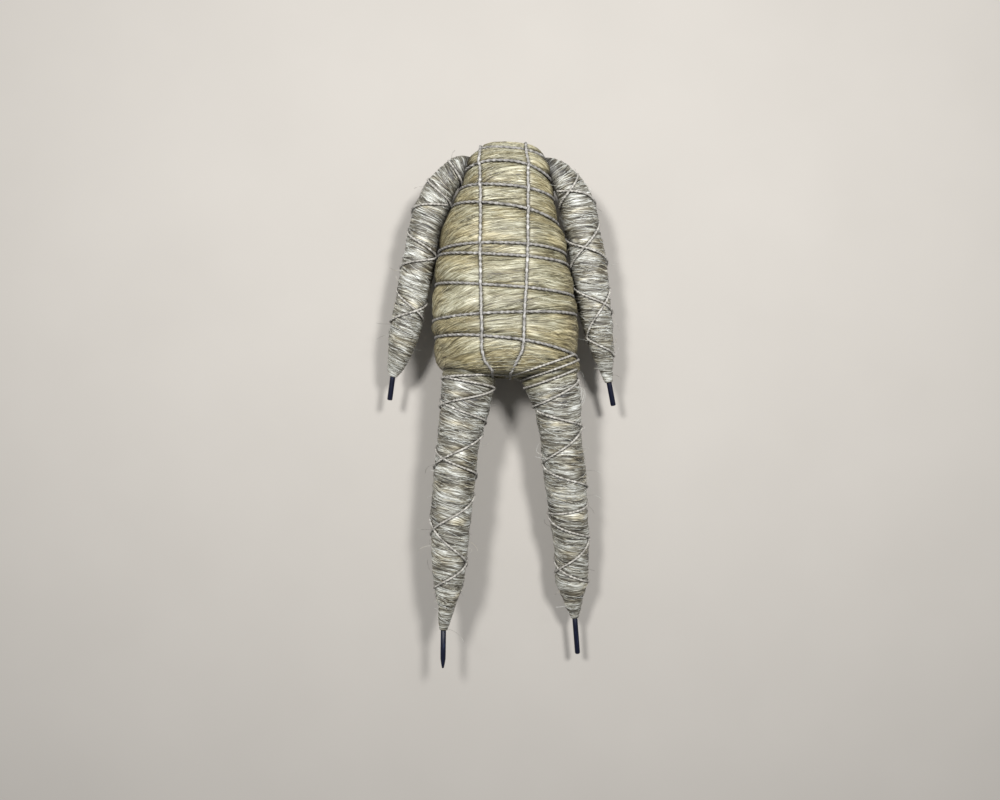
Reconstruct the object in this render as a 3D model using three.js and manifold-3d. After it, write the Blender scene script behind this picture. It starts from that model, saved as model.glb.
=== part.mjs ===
// The stuffed body of a nativity figure, lying on its back: tow wound over wire and trussed with twine.
// It has no head, hands or feet yet. Those are fixed on the neck end and on the four wire ends later.
// Millimetres. X runs across the body, Y from the feet to the neck end, Z up from the back.
// Left and right are the figure's own sides, so its left arm and left leg are on +X.
// Every piece of tow keeps a small gap to the twine, thread and wire that press into it.

import * as THREE from 'three';
import { mergeVertices } from 'three/addons/utils/BufferGeometryUtils.js';
import Module from 'manifold-3d';

const wasm = await Module();
wasm.setup();

// Driving dimensions of the torso
const TORSO_LENGTH = 126;
const TORSO_WIDTH = 73;
const TORSO_DEPTH = 58;
const BACK_PRESSED_FLAT = 1.2;
const TOW_BULGE = 2;

// Driving dimensions of the limbs. A length runs along the middle of the limb, inside the torso too.
const ARM_LENGTH = 126;
const ARM_THICKNESS = 17.4;
const LEG_LENGTH = 144;
const LEG_THICKNESS = 27.5;
const SHOULDER_BELOW_NECK_END = 13;
const SHOULDER_HEIGHT = 24;
const HIP_ABOVE_CROTCH = 14;
const HIP_HEIGHT = 31;

// Where the limbs' roots lie, as shares of the torso's width: out from the middle, and both to the left.
const SHOULDER_PLACE = { out: 0.22, shift: 0.01 };
const HIP_PLACE = { out: 0.25, shift: 0.016 };

// Driving dimensions of the twine, thread and wire
const TWINE_DIAMETER = 1.5;
const THREAD_DIAMETER = 1.25;
const WIRE_DIAMETER = 2.8;
const ARM_WIRE_OUT = 13;
const LEG_WIRE_OUT = 20;
const WIRE_SEAT = 8;
const TOW_ROUND_WIRE = 0.5;
const PINCH = { starts: 0.82, width: 0.45 };
const GAP = 0.3;
const TWINE_OFF_TABLE = 0.2;

// How finely the curved pieces are faceted
const TORSO_COLUMNS = 20;
const LIMB_COLUMNS = 12;
const TWINE_SIDES = 3;
const THREAD_SIDES = 3;
const WIRE_SIDES = 10;
const STEPS_OVER_AN_END = 4;

// A section through the torso is an ellipse that is a little square at its corners. Seen from the front,
// the neck end is round, the shoulders are full and the crotch end is nearly square.
const SQUARENESS = 2.3;
const NECK_ROUNDNESS = 2.2;
const SHOULDER_FULLNESS = 1.8;
const CROTCH_CORNERS = { drop: 1.1, edge: 9, curve: 3 };
const BULGE_FULLNESS = 0.75;

// The back's ends lie off the table, as if the torso were at least this share of its depth there.
const RESTING_DEPTH = 0.78;

// The nine turns of twine round the torso, from the neck end down. Each turn gives how high it lies at
// the figure's right side, at the front and at its left side, as shares of the torso's length. It also
// gives the torso's width and depth under it, how far the section stands to the figure's left, all as
// shares of the hips' width and depth, and how much the tow swells below it.
const TURNS = [
  { right: 0.963, front: 0.952, left: 0.93, width: 0.465, depth: 0.37, shift: 0.053, swell: 0.9 },
  { right: 0.863, front: 0.881, left: 0.825, width: 0.63, depth: 0.69, shift: 0.022, swell: 0.5 },
  { right: 0.794, front: 0.779, left: 0.752, width: 0.665, depth: 0.75, shift: 0.018, swell: 0.5 },
  { right: 0.721, front: 0.698, left: 0.646, width: 0.755, depth: 0.79, shift: 0.004, swell: 1.2 },
  { right: 0.534, front: 0.540, left: 0.521, width: 0.895, depth: 0.88, shift: -0.016, swell: 0.1 },
  { right: 0.514, front: 0.490, left: 0.475, width: 0.91, depth: 0.89, shift: -0.01, swell: 0.9 },
  { right: 0.394, front: 0.365, left: 0.344, width: 0.965, depth: 0.95, shift: 0, swell: 0.9 },
  { right: 0.244, front: 0.260, left: 0.268, width: 1, depth: 0.99, shift: 0, swell: 0.8 },
  { right: 0.177, front: 0.163, left: 0.098, width: 0.985, depth: 1, shift: 0.01, swell: 0.9 },
];
const NECK_END = { right: 0.994, front: 0.994, left: 0.994, width: 0, depth: 0, shift: 0.038, swell: 0.3 };
const CROTCH = { right: 0.016, front: 0.016, left: 0.016, width: 0, depth: 0, shift: 0.03, swell: 0 };
const STATIONS = [NECK_END, ...TURNS, CROTCH];
const LAST_TURN = TURNS.length;
const CROTCH_LEVEL = STATIONS.length - 1;

// A level counts the stations from 0 at the neck end. Rows lie on every station and between them.
const BETWEEN_TURNS = [1 / 3, 2 / 3];
const LEVELS = [
  0, 0.3, 0.65, 1, ...between(1), 2, ...between(2), 3, ...between(3), 4, 4.25, 4.5, 4.75, 5, 5.5, 6,
  ...between(6), 7, ...between(7), 8, ...between(8), 9, 9.25, 9.45, 9.63, 9.78, 9.9, 9.97, 10,
];

// The two lengthwise twines: how far each lies from the middle at every turn, as shares of the width.
const LENGTHWISE = {
  right: [-0.168, -0.17, -0.166, -0.163, -0.165, -0.165, -0.16, -0.155, -0.15],
  left: [0.15, 0.16, 0.16, 0.158, 0.155, 0.152, 0.142, 0.13, 0.125],
};
const LENGTHWISE_LEAVES_NECK_AT = 1.45;
const LENGTHWISE_NEAR_CROTCH = {
  levels: [9.35, 9.65],
  right: { offsets: [-0.155, -0.135], atCrotch: -0.085 },
  left: { offsets: [0.117, 0.078], atCrotch: 0.04 },
};
const LENGTHWISE_REACHES_CROTCH_AT = 9.84;
const STRANDS_LIE_APART = 0.5;
const LENGTHWISE_LIFT_AT_CROSSING = 0.8;

// A limb's middle line: how far out, down and nearer the table it lies, as shares of its length.
const RIGHT_ARM_LINE = [
  [0, 0, 0], [0.058, 0.012, -0.02], [0.126, 0.075, -0.026], [0.168, 0.147, -0.023], [0.207, 0.269, -0.014],
  [0.23, 0.38, -0.006], [0.26, 0.52, 0.004], [0.293, 0.66, 0.016], [0.325, 0.795, 0.03], [0.351, 0.875, 0.042],
];
const LEFT_ARM_LINE = [
  [0, 0, 0], [0.06, 0.018, -0.02], [0.123, 0.075, -0.026], [0.162, 0.147, -0.023], [0.19, 0.269, -0.014],
  [0.214, 0.38, -0.006], [0.232, 0.52, 0.004], [0.258, 0.66, 0.016], [0.285, 0.795, 0.03], [0.31, 0.9, 0.044],
];
const RIGHT_LEG_LINE = [
  [0, 0, 0], [0.02, 0.163, 0], [0.044, 0.296, 0.003], [0.06, 0.434, 0.007],
  [0.073, 0.571, 0.01], [0.081, 0.706, 0.014], [0.085, 0.844, 0.017], [0.103, 0.998, 0.021],
];
const LEFT_LEG_LINE = [
  [0, 0, 0], [0.052, 0.163, 0.01], [0.07, 0.298, 0.028], [0.087, 0.437, 0.048],
  [0.1, 0.579, 0.067], [0.114, 0.719, 0.087], [0.118, 0.865, 0.106], [0.129, 0.98, 0.118],
];

// A limb's girth: pairs of a share of its length and a share of its thickness there.
const RIGHT_ARM_GIRTH = [
  [0, 0.5], [0.05, 0.7], [0.14, 0.82], [0.24, 0.96], [0.3, 1.05], [0.45, 0.97], [0.56, 1.01],
  [0.67, 0.92], [0.82, 0.92], [0.9, 0.71], [0.97, 0.45],
];
const LEFT_ARM_GIRTH = [
  [0, 0.5], [0.06, 0.66], [0.15, 0.85], [0.3, 1.09], [0.37, 1.04], [0.45, 1.09],
  [0.58, 1.09], [0.66, 1.03], [0.8, 0.8], [0.88, 0.66], [0.95, 0.38],
];
const RIGHT_LEG_GIRTH = [
  [0, 0.9], [0.08, 1], [0.163, 0.945], [0.296, 0.82], [0.36, 0.785], [0.43, 0.8], [0.5, 0.775],
  [0.571, 0.78], [0.64, 0.71], [0.706, 0.69], [0.79, 0.625], [0.844, 0.53], [0.91, 0.34],
];
const LEFT_LEG_GIRTH = [
  [0, 0.95], [0.08, 1.05], [0.163, 0.93], [0.22, 0.86], [0.298, 0.79], [0.37, 0.79], [0.45, 0.815],
  [0.52, 0.77], [0.62, 0.73], [0.719, 0.67], [0.8, 0.635], [0.865, 0.625], [0.92, 0.42],
];

// Where a limb's thread passes its sides, as shares of the limb's length. It starts at the side on -X,
// crosses the front to the side on +X, comes round the back, and so on: down the limb and up again.
const RIGHT_ARM_THREAD = [
  0.119, 0.17, 0.185, 0.29, 0.389, 0.5, 0.635, 0.739, 0.785, 0.671, 0.546, 0.512, 0.311, 0.28,
];
const LEFT_ARM_THREAD = [
  0.17, 0.269, 0.378, 0.509, 0.579, 0.722, 0.788, 0.9, 0.818, 0.603, 0.53, 0.333, 0.234, 0.15,
];
const RIGHT_LEG_THREAD = [
  0.135, 0.145, 0.185, 0.235, 0.347, 0.43, 0.6, 0.752, 0.845, 0.757, 0.652, 0.525,
  0.409, 0.294, 0.195, 0.152, 0.115, 0.135,
];
const LEFT_LEG_THREAD = [
  0.19, 0.264, 0.397, 0.486, 0.595, 0.678, 0.77, 0.838, 0.815, 0.647, 0.579, 0.546,
  0.4, 0.262, 0.188, 0.115, 0.155, 0.095, 0.14, 0.075, 0.125, 0.05,
];
const BUTTOCKS_END_AT = 0.15;

const TOW_GOLD = new THREE.MeshStandardMaterial({ color: 0xb8b69b, roughness: 0.75, metalness: 0 });
const TOW_GREY = new THREE.MeshStandardMaterial({ color: 0xa0a092, roughness: 0.7, metalness: 0 });
const TWINE = new THREE.MeshStandardMaterial({ color: 0xbcb6a9, roughness: 0.8, metalness: 0 });
const COATED_WIRE = new THREE.MeshStandardMaterial({ color: 0x14203a, roughness: 0.45, metalness: 0 });

function between(level) {
  return BETWEEN_TURNS.map((share) => level + share);
}

function mix(a, b, share) {
  return a + (b - a) * share;
}

function eased(share) {
  return share * share * (3 - 2 * share);
}

// Reads a list of pairs at one share of the length, on straight lines between the pairs.
function readPairs(pairs, share) {
  const next = pairs.findIndex(([place]) => place >= share);
  if (next === -1) return pairs[pairs.length - 1][1];
  if (next === 0) return pairs[0][1];
  const [[from, start], [to, end]] = [pairs[next - 1], pairs[next]];
  return mix(start, end, (share - from) / (to - from));
}

// How high one turn lies at an angle, measured from the front towards the figure's left.
function turnHeight(turn, angle) {
  const sideways = Math.sin(angle);
  const slope = (turn.left - turn.right) / 2;
  const dip = (turn.left + turn.right) / 2 - turn.front;
  return TORSO_LENGTH * (turn.front + slope * sideways + dip * sideways * sideways);
}

// The ends of the torso close in full curves, while its sides run straight from turn to turn.
function closing(level, share) {
  if (level === 0) return { fallen: share, grown: Math.sqrt(1 - (1 - share) ** NECK_ROUNDNESS) };
  if (level === 1) return { fallen: share, grown: 1 - (1 - share) ** SHOULDER_FULLNESS };
  if (level < LAST_TURN) return { fallen: share, grown: share };
  const { drop, edge, curve } = CROTCH_CORNERS;
  return { fallen: share ** drop, grown: 1 - (1 - share ** edge) ** (1 / curve) };
}

// A point on the torso's surface at a level and an angle.
function torsoPoint(level, angle) {
  const above = Math.min(Math.floor(level), CROTCH_LEVEL - 1);
  const share = level - above;
  const [upper, lower] = [STATIONS[above], STATIONS[above + 1]];
  const { fallen, grown } = closing(above, share);
  const swell = TOW_BULGE * upper.swell * Math.sin(Math.PI * share) ** BULGE_FULLNESS;
  const halfWidth = (mix(upper.width, lower.width, grown) * TORSO_WIDTH) / 2 + swell;
  const halfDepth = (mix(upper.depth, lower.depth, grown) * TORSO_DEPTH) / 2 + swell;
  const middle = torsoMiddle(level);
  const across = Math.sin(angle);
  const up = Math.cos(angle);
  const rounding = 2 / SQUARENESS;
  const x = middle.x + halfWidth * Math.sign(across) * Math.abs(across) ** rounding;
  const y = mix(turnHeight(upper, angle), turnHeight(lower, angle), fallen);
  const z = middle.z + halfDepth * Math.sign(up) * Math.abs(up) ** rounding;
  return new THREE.Vector3(x, y, Math.max(z, 0));
}

// The middle of the torso's section at a level. The back is pressed flat, and both ends curve up from it.
function torsoMiddle(level) {
  const above = Math.min(Math.floor(level), CROTCH_LEVEL - 1);
  const share = level - above;
  const [upper, lower] = [STATIONS[above], STATIONS[above + 1]];
  const restingDepth = (station) => Math.max(station.depth, RESTING_DEPTH);
  const halfDepth = (mix(restingDepth(upper), restingDepth(lower), share) * TORSO_DEPTH) / 2;
  const x = mix(upper.shift, lower.shift, share) * TORSO_WIDTH;
  return new THREE.Vector3(x, 0, halfDepth - BACK_PRESSED_FLAT);
}

// The level near an end of the torso at which its surface is a given way from the middle at an angle.
function levelAt(angle, x, wide, narrow) {
  const halvings = 30;
  const middle = torsoMiddle(wide).x;
  for (let i = 0; i < halvings; i += 1) {
    const level = (wide + narrow) / 2;
    if (Math.abs(torsoPoint(level, angle).x - middle) > Math.abs(x - middle)) wide = level;
    else narrow = level;
  }
  return (wide + narrow) / 2;
}

// The way straight out of the torso's surface, smoothed over the groove under a turn.
function torsoOutward(level, angle) {
  const reach = 0.2;
  const offThePoles = 0.02;
  const along = torsoPoint(Math.max(level - reach, offThePoles), angle);
  along.sub(torsoPoint(Math.min(level + reach, CROTCH_LEVEL - offThePoles), angle));
  const round = torsoPoint(level, angle + reach / 2).sub(torsoPoint(level, angle - reach / 2));
  return along.cross(round).normalize().negate();
}

function aboveTorso(level, angle, distance) {
  const point = torsoPoint(level, angle).addScaledVector(torsoOutward(level, angle), distance);
  point.z = Math.max(point.z, TWINE_DIAMETER / 2 + TWINE_OFF_TABLE);
  return point;
}

// A closed shape whose shared corners are merged, as the boolean cuts need it.
function merged(geometry) {
  geometry.deleteAttribute('normal');
  geometry.deleteAttribute('uv');
  return mergeVertices(geometry, 1e-4);
}

function solidOf(geometry) {
  const { position } = geometry.attributes;
  const triVerts = Uint32Array.from(geometry.index.array);
  const vertProperties = Float32Array.from(position.array);
  return new wasm.Manifold(new wasm.Mesh({ numProp: 3, vertProperties, triVerts }));
}

function geometryOf(solid) {
  const { vertProperties, triVerts } = solid.getMesh();
  const geometry = new THREE.BufferGeometry();
  geometry.setAttribute('position', new THREE.BufferAttribute(vertProperties, 3));
  geometry.setIndex(new THREE.BufferAttribute(triVerts, 1));
  return geometry;
}

// The same shape with its surface moved straight out by the gap.
function swollen(geometry) {
  const copy = geometry.clone();
  copy.computeVertexNormals();
  const { position, normal } = copy.attributes;
  const point = new THREE.Vector3();
  const outward = new THREE.Vector3();
  for (let i = 0; i < position.count; i += 1) {
    outward.fromBufferAttribute(normal, i);
    point.fromBufferAttribute(position, i).addScaledVector(outward, GAP);
    position.setXYZ(i, point.x, point.y, point.z);
  }
  return copy;
}

// A path that turns exactly at its own points, so that a strand stays over the facets that it lies on.
class TautPath extends THREE.Curve {
  constructor(points) {
    super();
    this.points = points;
  }

  getPoint(share, target = new THREE.Vector3()) {
    const last = this.points.length - 1;
    const place = THREE.MathUtils.clamp(share, 0, 1) * last;
    const before = Math.min(Math.floor(place), last - 1);
    return target.lerpVectors(this.points[before], this.points[before + 1], place - before);
  }

  getPointAt(share, target) {
    return this.getPoint(share, target);
  }

  getTangentAt(share, target) {
    return this.getTangent(share, target);
  }
}

// A round strand along a path of points, with flat ends.
function strand(points, diameter, sides) {
  const section = new THREE.Shape(
    Array.from({ length: sides }, (_, i) => {
      const angle = (2 * Math.PI * i) / sides;
      return new THREE.Vector2((Math.cos(angle) * diameter) / 2, (Math.sin(angle) * diameter) / 2);
    }),
  );
  const extrudePath = new TautPath(points);
  const steps = points.length - 1;
  return merged(new THREE.ExtrudeGeometry(section, { steps, extrudePath, bevelEnabled: false }));
}

function makeTorsoBody() {
  const rows = LEVELS.length - 1;
  const geometry = new THREE.SphereGeometry(1, TORSO_COLUMNS, rows);
  const { position } = geometry.attributes;
  for (let i = 0; i < position.count; i += 1) {
    const row = Math.round((Math.acos(THREE.MathUtils.clamp(position.getY(i), -1, 1)) / Math.PI) * rows);
    const angle = Math.atan2(position.getX(i), position.getZ(i));
    const onAxis = row === 0 || row === rows;
    const point = torsoPoint(LEVELS[row], onAxis ? Math.PI / 2 : angle);
    if (onAxis) point.set(torsoMiddle(LEVELS[row]).x, point.y, torsoMiddle(LEVELS[row]).z);
    position.setXYZ(i, point.x, point.y, point.z);
  }
  return merged(geometry);
}

// How far the middle of a strand lies off the tow. A groove has sloping sides, so it lies a little out.
const LIES_OUT_IN_GROOVE = 1.1;
const TWINE_LIES_OUT = (TWINE_DIAMETER / 2 + GAP) * LIES_OUT_IN_GROOVE;
const THREAD_LIES_OUT = (THREAD_DIAMETER / 2 + GAP) * LIES_OUT_IN_GROOVE;

// The nine turns are one winding: level across the front, and down to the next turn across the back.
function torsoWinding() {
  const half = TORSO_COLUMNS / 2;
  const points = [];
  for (let turn = 1; turn <= LAST_TURN; turn += 1) {
    for (let i = 0; i < half; i += 1) {
      points.push(aboveTorso(turn, Math.PI * (i / half - 0.5), TWINE_LIES_OUT));
    }
    for (let i = 0; i < half; i += 1) {
      const share = i / half;
      const level = turn === LAST_TURN ? turn : turn + eased(share);
      points.push(aboveTorso(level, Math.PI * (share + 0.5), TWINE_LIES_OUT));
    }
  }
  return straightOverTable(points);
}

// Where the twine lies along the table it runs straight, with no points on the way.
function straightOverTable(points) {
  const lowest = TWINE_DIAMETER / 2 + TWINE_OFF_TABLE;
  return points.filter((_, i) => points.slice(Math.max(i - 1, 0), i + 2).some((point) => point.z > lowest));
}

// The angle at which the torso's front is a given way from the middle line.
function angleAt(level, offset) {
  const middle = torsoMiddle(level).x;
  const side = torsoPoint(level, (Math.sign(offset) * Math.PI) / 2).x - middle;
  const share = THREE.MathUtils.clamp((offset * TORSO_WIDTH - middle) / side, 0, 1);
  return Math.sign(offset) * Math.asin(share ** (SQUARENESS / 2));
}

// A lengthwise twine passes round an end of the torso at one distance from the middle line.
function roundEnd(offset, wide, end) {
  const start = angleAt(wide, offset);
  const finish = Math.sign(offset) * Math.PI - start;
  return Array.from({ length: STEPS_OVER_AN_END + 1 }, (_, i) => {
    const angle = mix(start, finish, i / STEPS_OVER_AN_END);
    return aboveTorso(levelAt(angle, offset * TORSO_WIDTH, wide, end), angle, TWINE_LIES_OUT);
  });
}

// A lengthwise twine runs down the front over the turns, under the crotch, up the back and over the neck
// end. It is made as two strands, whose ends lie half beside each other.
function lengthwiseStrands(side, offsets, nearCrotch) {
  const overTurn = TWINE_LIES_OUT + TWINE_DIAMETER * LENGTHWISE_LIFT_AT_CROSSING;
  const down = [];
  offsets.slice(1).forEach((offset, i) => {
    const turn = i + 2;
    const midway = turn - 0.5;
    if (turn > 2) down.push([midway, angleAt(midway, (offset + offsets[i]) / 2), TWINE_LIES_OUT]);
    down.push([turn, angleAt(turn, offset), overTurn]);
  });
  LENGTHWISE_NEAR_CROTCH.levels.forEach((level, i) => {
    down.push([level, angleAt(level, nearCrotch.offsets[i]), TWINE_LIES_OUT]);
  });
  const neck = roundEnd(offsets[0], LENGTHWISE_LEAVES_NECK_AT, 0).reverse();
  const crotch = roundEnd(nearCrotch.atCrotch, LENGTHWISE_REACHES_CROTCH_AT, CROTCH_LEVEL);
  const front = down.map(([level, angle, lift]) => aboveTorso(level, angle, lift));
  const back = straightOverTable(
    down.map(([level, angle]) => aboveTorso(level, Math.PI - angle, TWINE_LIES_OUT)),
  );
  const beside = new THREE.Vector3(side * STRANDS_LIE_APART, 0, 0);
  const backStrand = [neck[0], ...back, crotch[crotch.length - 1]].map((point) => point.clone().add(beside));
  return [[...neck, ...front, ...crotch], backStrand];
}

function makeTorsoTwine(diameter) {
  let twine = solidOf(strand(torsoWinding(), diameter, TWINE_SIDES));
  for (const [name, side] of [['right', -1], ['left', 1]]) {
    for (const points of lengthwiseStrands(side, LENGTHWISE[name], LENGTHWISE_NEAR_CROTCH[name])) {
      twine = twine.add(solidOf(strand(points, diameter, TWINE_SIDES)));
    }
  }
  return twine;
}

// A limb with the line that it follows, from its root inside the torso to the end of its tow.
class Limb {
  constructor({ name, isLeg, side, root, length, thickness, line, girth, thread, wire }) {
    Object.assign(this, { name, isLeg, thickness, girth, thread, wire });
    const points = line.map(([out, down, lower]) =>
      new THREE.Vector3(side * out, -down, -lower).multiplyScalar(length).add(root),
    );
    this.line = new THREE.CatmullRomCurve3(points, false, 'centripetal');
    this.line.arcLengthDivisions = 400;
    this.tip = this.line.getPointAt(1);
    this.wireWay = new THREE.Vector3(side * wire.way[0], -wire.way[1], -wire.way[2]).normalize();
  }

  // The middle of the section at a share of the length, with the ways across it and up from it.
  section(share) {
    const middle = this.line.getPointAt(share);
    const along = this.line.getTangentAt(share);
    const across = new THREE.Vector3(0, 0, 1).cross(along).negate().normalize();
    if (across.x < 0) across.negate();
    const up = new THREE.Vector3().crossVectors(across, along).normalize();
    if (up.z < 0) up.negate();
    return { middle, across, up };
  }

  radius(share) {
    const tipRadius = WIRE_DIAMETER / 2 + GAP + TOW_ROUND_WIRE;
    const [lastShare, lastGirth] = this.girth[this.girth.length - 1];
    if (share <= lastShare) return (readPairs(this.girth, share) * this.thickness) / 2;
    return mix((lastGirth * this.thickness) / 2, tipRadius, (share - lastShare) / (1 - lastShare));
  }

  // The tow is a turned shape, closed by flat ends, that is bent along the limb's line.
  makeTow() {
    const shares = [...this.girth.map(([share]) => share), 1];
    const profile = shares.map((share) => new THREE.Vector2(this.radius(share), share));
    profile.unshift(new THREE.Vector2(0, 0));
    profile.push(new THREE.Vector2(0, 1));
    const geometry = new THREE.LatheGeometry(profile, LIMB_COLUMNS);
    const { position } = geometry.attributes;
    for (let i = 0; i < position.count; i += 1) {
      const [x, share, z] = [position.getX(i), position.getY(i), position.getZ(i)];
      const { middle, across, up } = this.section(share);
      middle.addScaledVector(across, x).addScaledVector(up, z);
      position.setXYZ(i, middle.x, middle.y, middle.z);
    }
    return turnedOutward(merged(geometry));
  }

  // The thread lies on whatever is outermost round the limb: its own tow, or the torso at its root.
  threadPoints(tow, torso) {
    const ray = new THREE.Raycaster();
    const half = LIMB_COLUMNS / 2;
    const points = [];
    this.thread.slice(0, -1).forEach((from, crossing) => {
      const to = this.thread[crossing + 1];
      const onBack = crossing % 2 === 1;
      for (let i = 0; i < half; i += 1) {
        const turned = i / half;
        const behind = onBack ? Math.sin(Math.PI * turned) : 0;
        const lowest = this.isLeg ? BUTTOCKS_END_AT * behind : 0;
        const share = Math.max(mix(from, to, turned), lowest);
        const angle = Math.PI * (crossing + turned - 0.5);
        const { middle, across, up } = this.section(share);
        const way = across.multiplyScalar(Math.sin(angle)).addScaledVector(up, Math.cos(angle)).normalize();
        ray.set(middle, way);
        const [leavesTow] = ray.intersectObject(tow);
        const [meetsTorso] = ray.intersectObject(torso);
        const startsInTorso = meetsTorso && meetsTorso.face.normal.dot(way) > 0;
        const reach = Math.max(leavesTow.distance, startsInTorso ? meetsTorso.distance : 0);
        points.push(middle.clone().addScaledVector(way, reach + THREAD_LIES_OUT));
      }
    });
    return points;
  }

  // The thread runs down the limb and up again. Where it turns back, the two runs lie half beside each other.
  makeThread(points, diameter) {
    const turnsBack = (this.thread.indexOf(Math.max(...this.thread)) * LIMB_COLUMNS) / 2;
    const beside = new THREE.Vector3(0, -STRANDS_LIE_APART, 0);
    const overrun = points.slice(turnsBack + 1, turnsBack + 3).map((point) => point.clone().add(beside));
    const runs = [[...points.slice(0, turnsBack + 1), ...overrun], points.slice(turnsBack)];
    const [down, up] = runs.map((run) => solidOf(strand(run, diameter, THREAD_SIDES)));
    return down.add(up);
  }

  // The wire sits in the end of the tow and stands out of it. A pinched end is narrowed to a chisel.
  makeWire(diameter, extra) {
    const length = this.wire.out + WIRE_SEAT + extra;
    const rings = this.wire.pinched ? [0, PINCH.starts, 1] : [0, 1];
    const geometry = new THREE.CylinderGeometry(diameter / 2, diameter / 2, 1, WIRE_SIDES, rings.length - 1);
    const { position } = geometry.attributes;
    const turn = new THREE.Quaternion().setFromUnitVectors(new THREE.Vector3(0, 1, 0), this.wireWay);
    const start = this.tip.clone().addScaledVector(this.wireWay, -WIRE_SEAT - extra);
    const point = new THREE.Vector3();
    for (let i = 0; i < position.count; i += 1) {
      point.fromBufferAttribute(position, i);
      const share = rings[Math.round((point.y + 0.5) * (rings.length - 1))];
      if (this.wire.pinched && share === 1) point.x *= PINCH.width;
      point.setY(share * length).applyQuaternion(turn).add(start);
      position.setXYZ(i, point.x, point.y, point.z);
    }
    return merged(geometry);
  }
}

// A lathe that is bent along a line can come out with its faces turned in. This turns them out.
function turnedOutward(geometry) {
  const { position } = geometry.attributes;
  const index = geometry.index.array;
  const [a, b, c] = [new THREE.Vector3(), new THREE.Vector3(), new THREE.Vector3()];
  let volume = 0;
  for (let i = 0; i < index.length; i += 3) {
    a.fromBufferAttribute(position, index[i]);
    b.fromBufferAttribute(position, index[i + 1]);
    c.fromBufferAttribute(position, index[i + 2]);
    volume += a.dot(b.cross(c)) / 6;
  }
  if (volume > 0) return geometry;
  for (let i = 0; i < index.length; i += 3) [index[i], index[i + 1]] = [index[i + 1], index[i]];
  return geometry;
}

function joint(side, { out, shift }, y, z) {
  return new THREE.Vector3((side * out + shift) * TORSO_WIDTH, y, z);
}

const shoulder = (side) => joint(side, SHOULDER_PLACE, TORSO_LENGTH - SHOULDER_BELOW_NECK_END, SHOULDER_HEIGHT);
const hip = (side) => joint(side, HIP_PLACE, HIP_ABOVE_CROTCH, HIP_HEIGHT);

const arm = { isLeg: false, length: ARM_LENGTH, thickness: ARM_THICKNESS };
const leg = { isLeg: true, length: LEG_LENGTH, thickness: LEG_THICKNESS };
const LIMBS = [
  new Limb({
    ...arm, name: 'right_arm', side: -1, root: shoulder(-1), line: RIGHT_ARM_LINE, girth: RIGHT_ARM_GIRTH,
    thread: RIGHT_ARM_THREAD, wire: { out: ARM_WIRE_OUT, way: [0.145, 0.98, 0.12] },
  }),
  new Limb({
    ...arm, name: 'left_arm', side: 1, root: shoulder(1), line: LEFT_ARM_LINE, girth: LEFT_ARM_GIRTH,
    thread: LEFT_ARM_THREAD, wire: { out: ARM_WIRE_OUT, way: [0.2, 0.97, 0.14] },
  }),
  new Limb({
    ...leg, name: 'right_leg', side: -1, root: hip(-1), line: RIGHT_LEG_LINE, girth: RIGHT_LEG_GIRTH,
    thread: RIGHT_LEG_THREAD, wire: { out: LEG_WIRE_OUT, way: [0.013, 1, 0], pinched: true },
  }),
  new Limb({
    ...leg, name: 'left_leg', side: 1, root: hip(1), line: LEFT_LEG_LINE, girth: LEFT_LEG_GIRTH,
    thread: LEFT_LEG_THREAD, wire: { out: LEG_WIRE_OUT, way: [0.08, 0.995, 0.05] },
  }),
];

const group = new THREE.Group();

function addPiece(name, geometry, material) {
  const piece = new THREE.Mesh(geometry, material);
  piece.name = name;
  group.add(piece);
}

const torsoBody = makeTorsoBody();
const twineSpace = makeTorsoTwine(TWINE_DIAMETER + 2 * GAP);
const torsoSpace = solidOf(swollen(torsoBody));
const rayed = new THREE.MeshBasicMaterial({ side: THREE.DoubleSide });
let torso = solidOf(torsoBody).subtract(twineSpace);

for (const limb of LIMBS) {
  const tow = limb.makeTow();
  const points = limb.threadPoints(new THREE.Mesh(tow, rayed), new THREE.Mesh(torsoBody, rayed));
  const threadSpace = limb.makeThread(points, THREAD_DIAMETER + 2 * GAP);
  const wireSpace = solidOf(limb.makeWire(WIRE_DIAMETER + 2 * GAP, GAP));
  torso = torso.subtract(threadSpace);
  const cutTow = solidOf(tow).subtract(torsoSpace).subtract(twineSpace).subtract(threadSpace);
  addPiece(limb.name, geometryOf(cutTow.subtract(wireSpace)), TOW_GREY);
  addPiece(`${limb.name}_thread`, geometryOf(limb.makeThread(points, THREAD_DIAMETER)), TWINE);
  addPiece(`${limb.name}_wire`, limb.makeWire(WIRE_DIAMETER, 0), COATED_WIRE);
}
addPiece('torso', geometryOf(torso), TOW_GOLD);
addPiece('torso_twine', geometryOf(makeTorsoTwine(TWINE_DIAMETER)), TWINE);

// The origin is on the table, under the middle of the whole body.
const whole = new THREE.Box3().setFromObject(group);
const middle = whole.getCenter(new THREE.Vector3());
group.position.set(-middle.x, -middle.y, -whole.min.z);

export default group;
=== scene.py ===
"""The stuffed body of a nativity figure: tow packed and wound over wire, trussed with twine.

Sizes are in millimetres until a mesh is made. X runs across the body, Y from the feet to the neck end and
Z up from the back. Left and right are the figure's own sides.
"""

import math

import bpy
import numpy as np
from mathutils import Matrix, Vector
from mathutils.bvhtree import BVHTree
from mathutils.kdtree import KDTree


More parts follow.
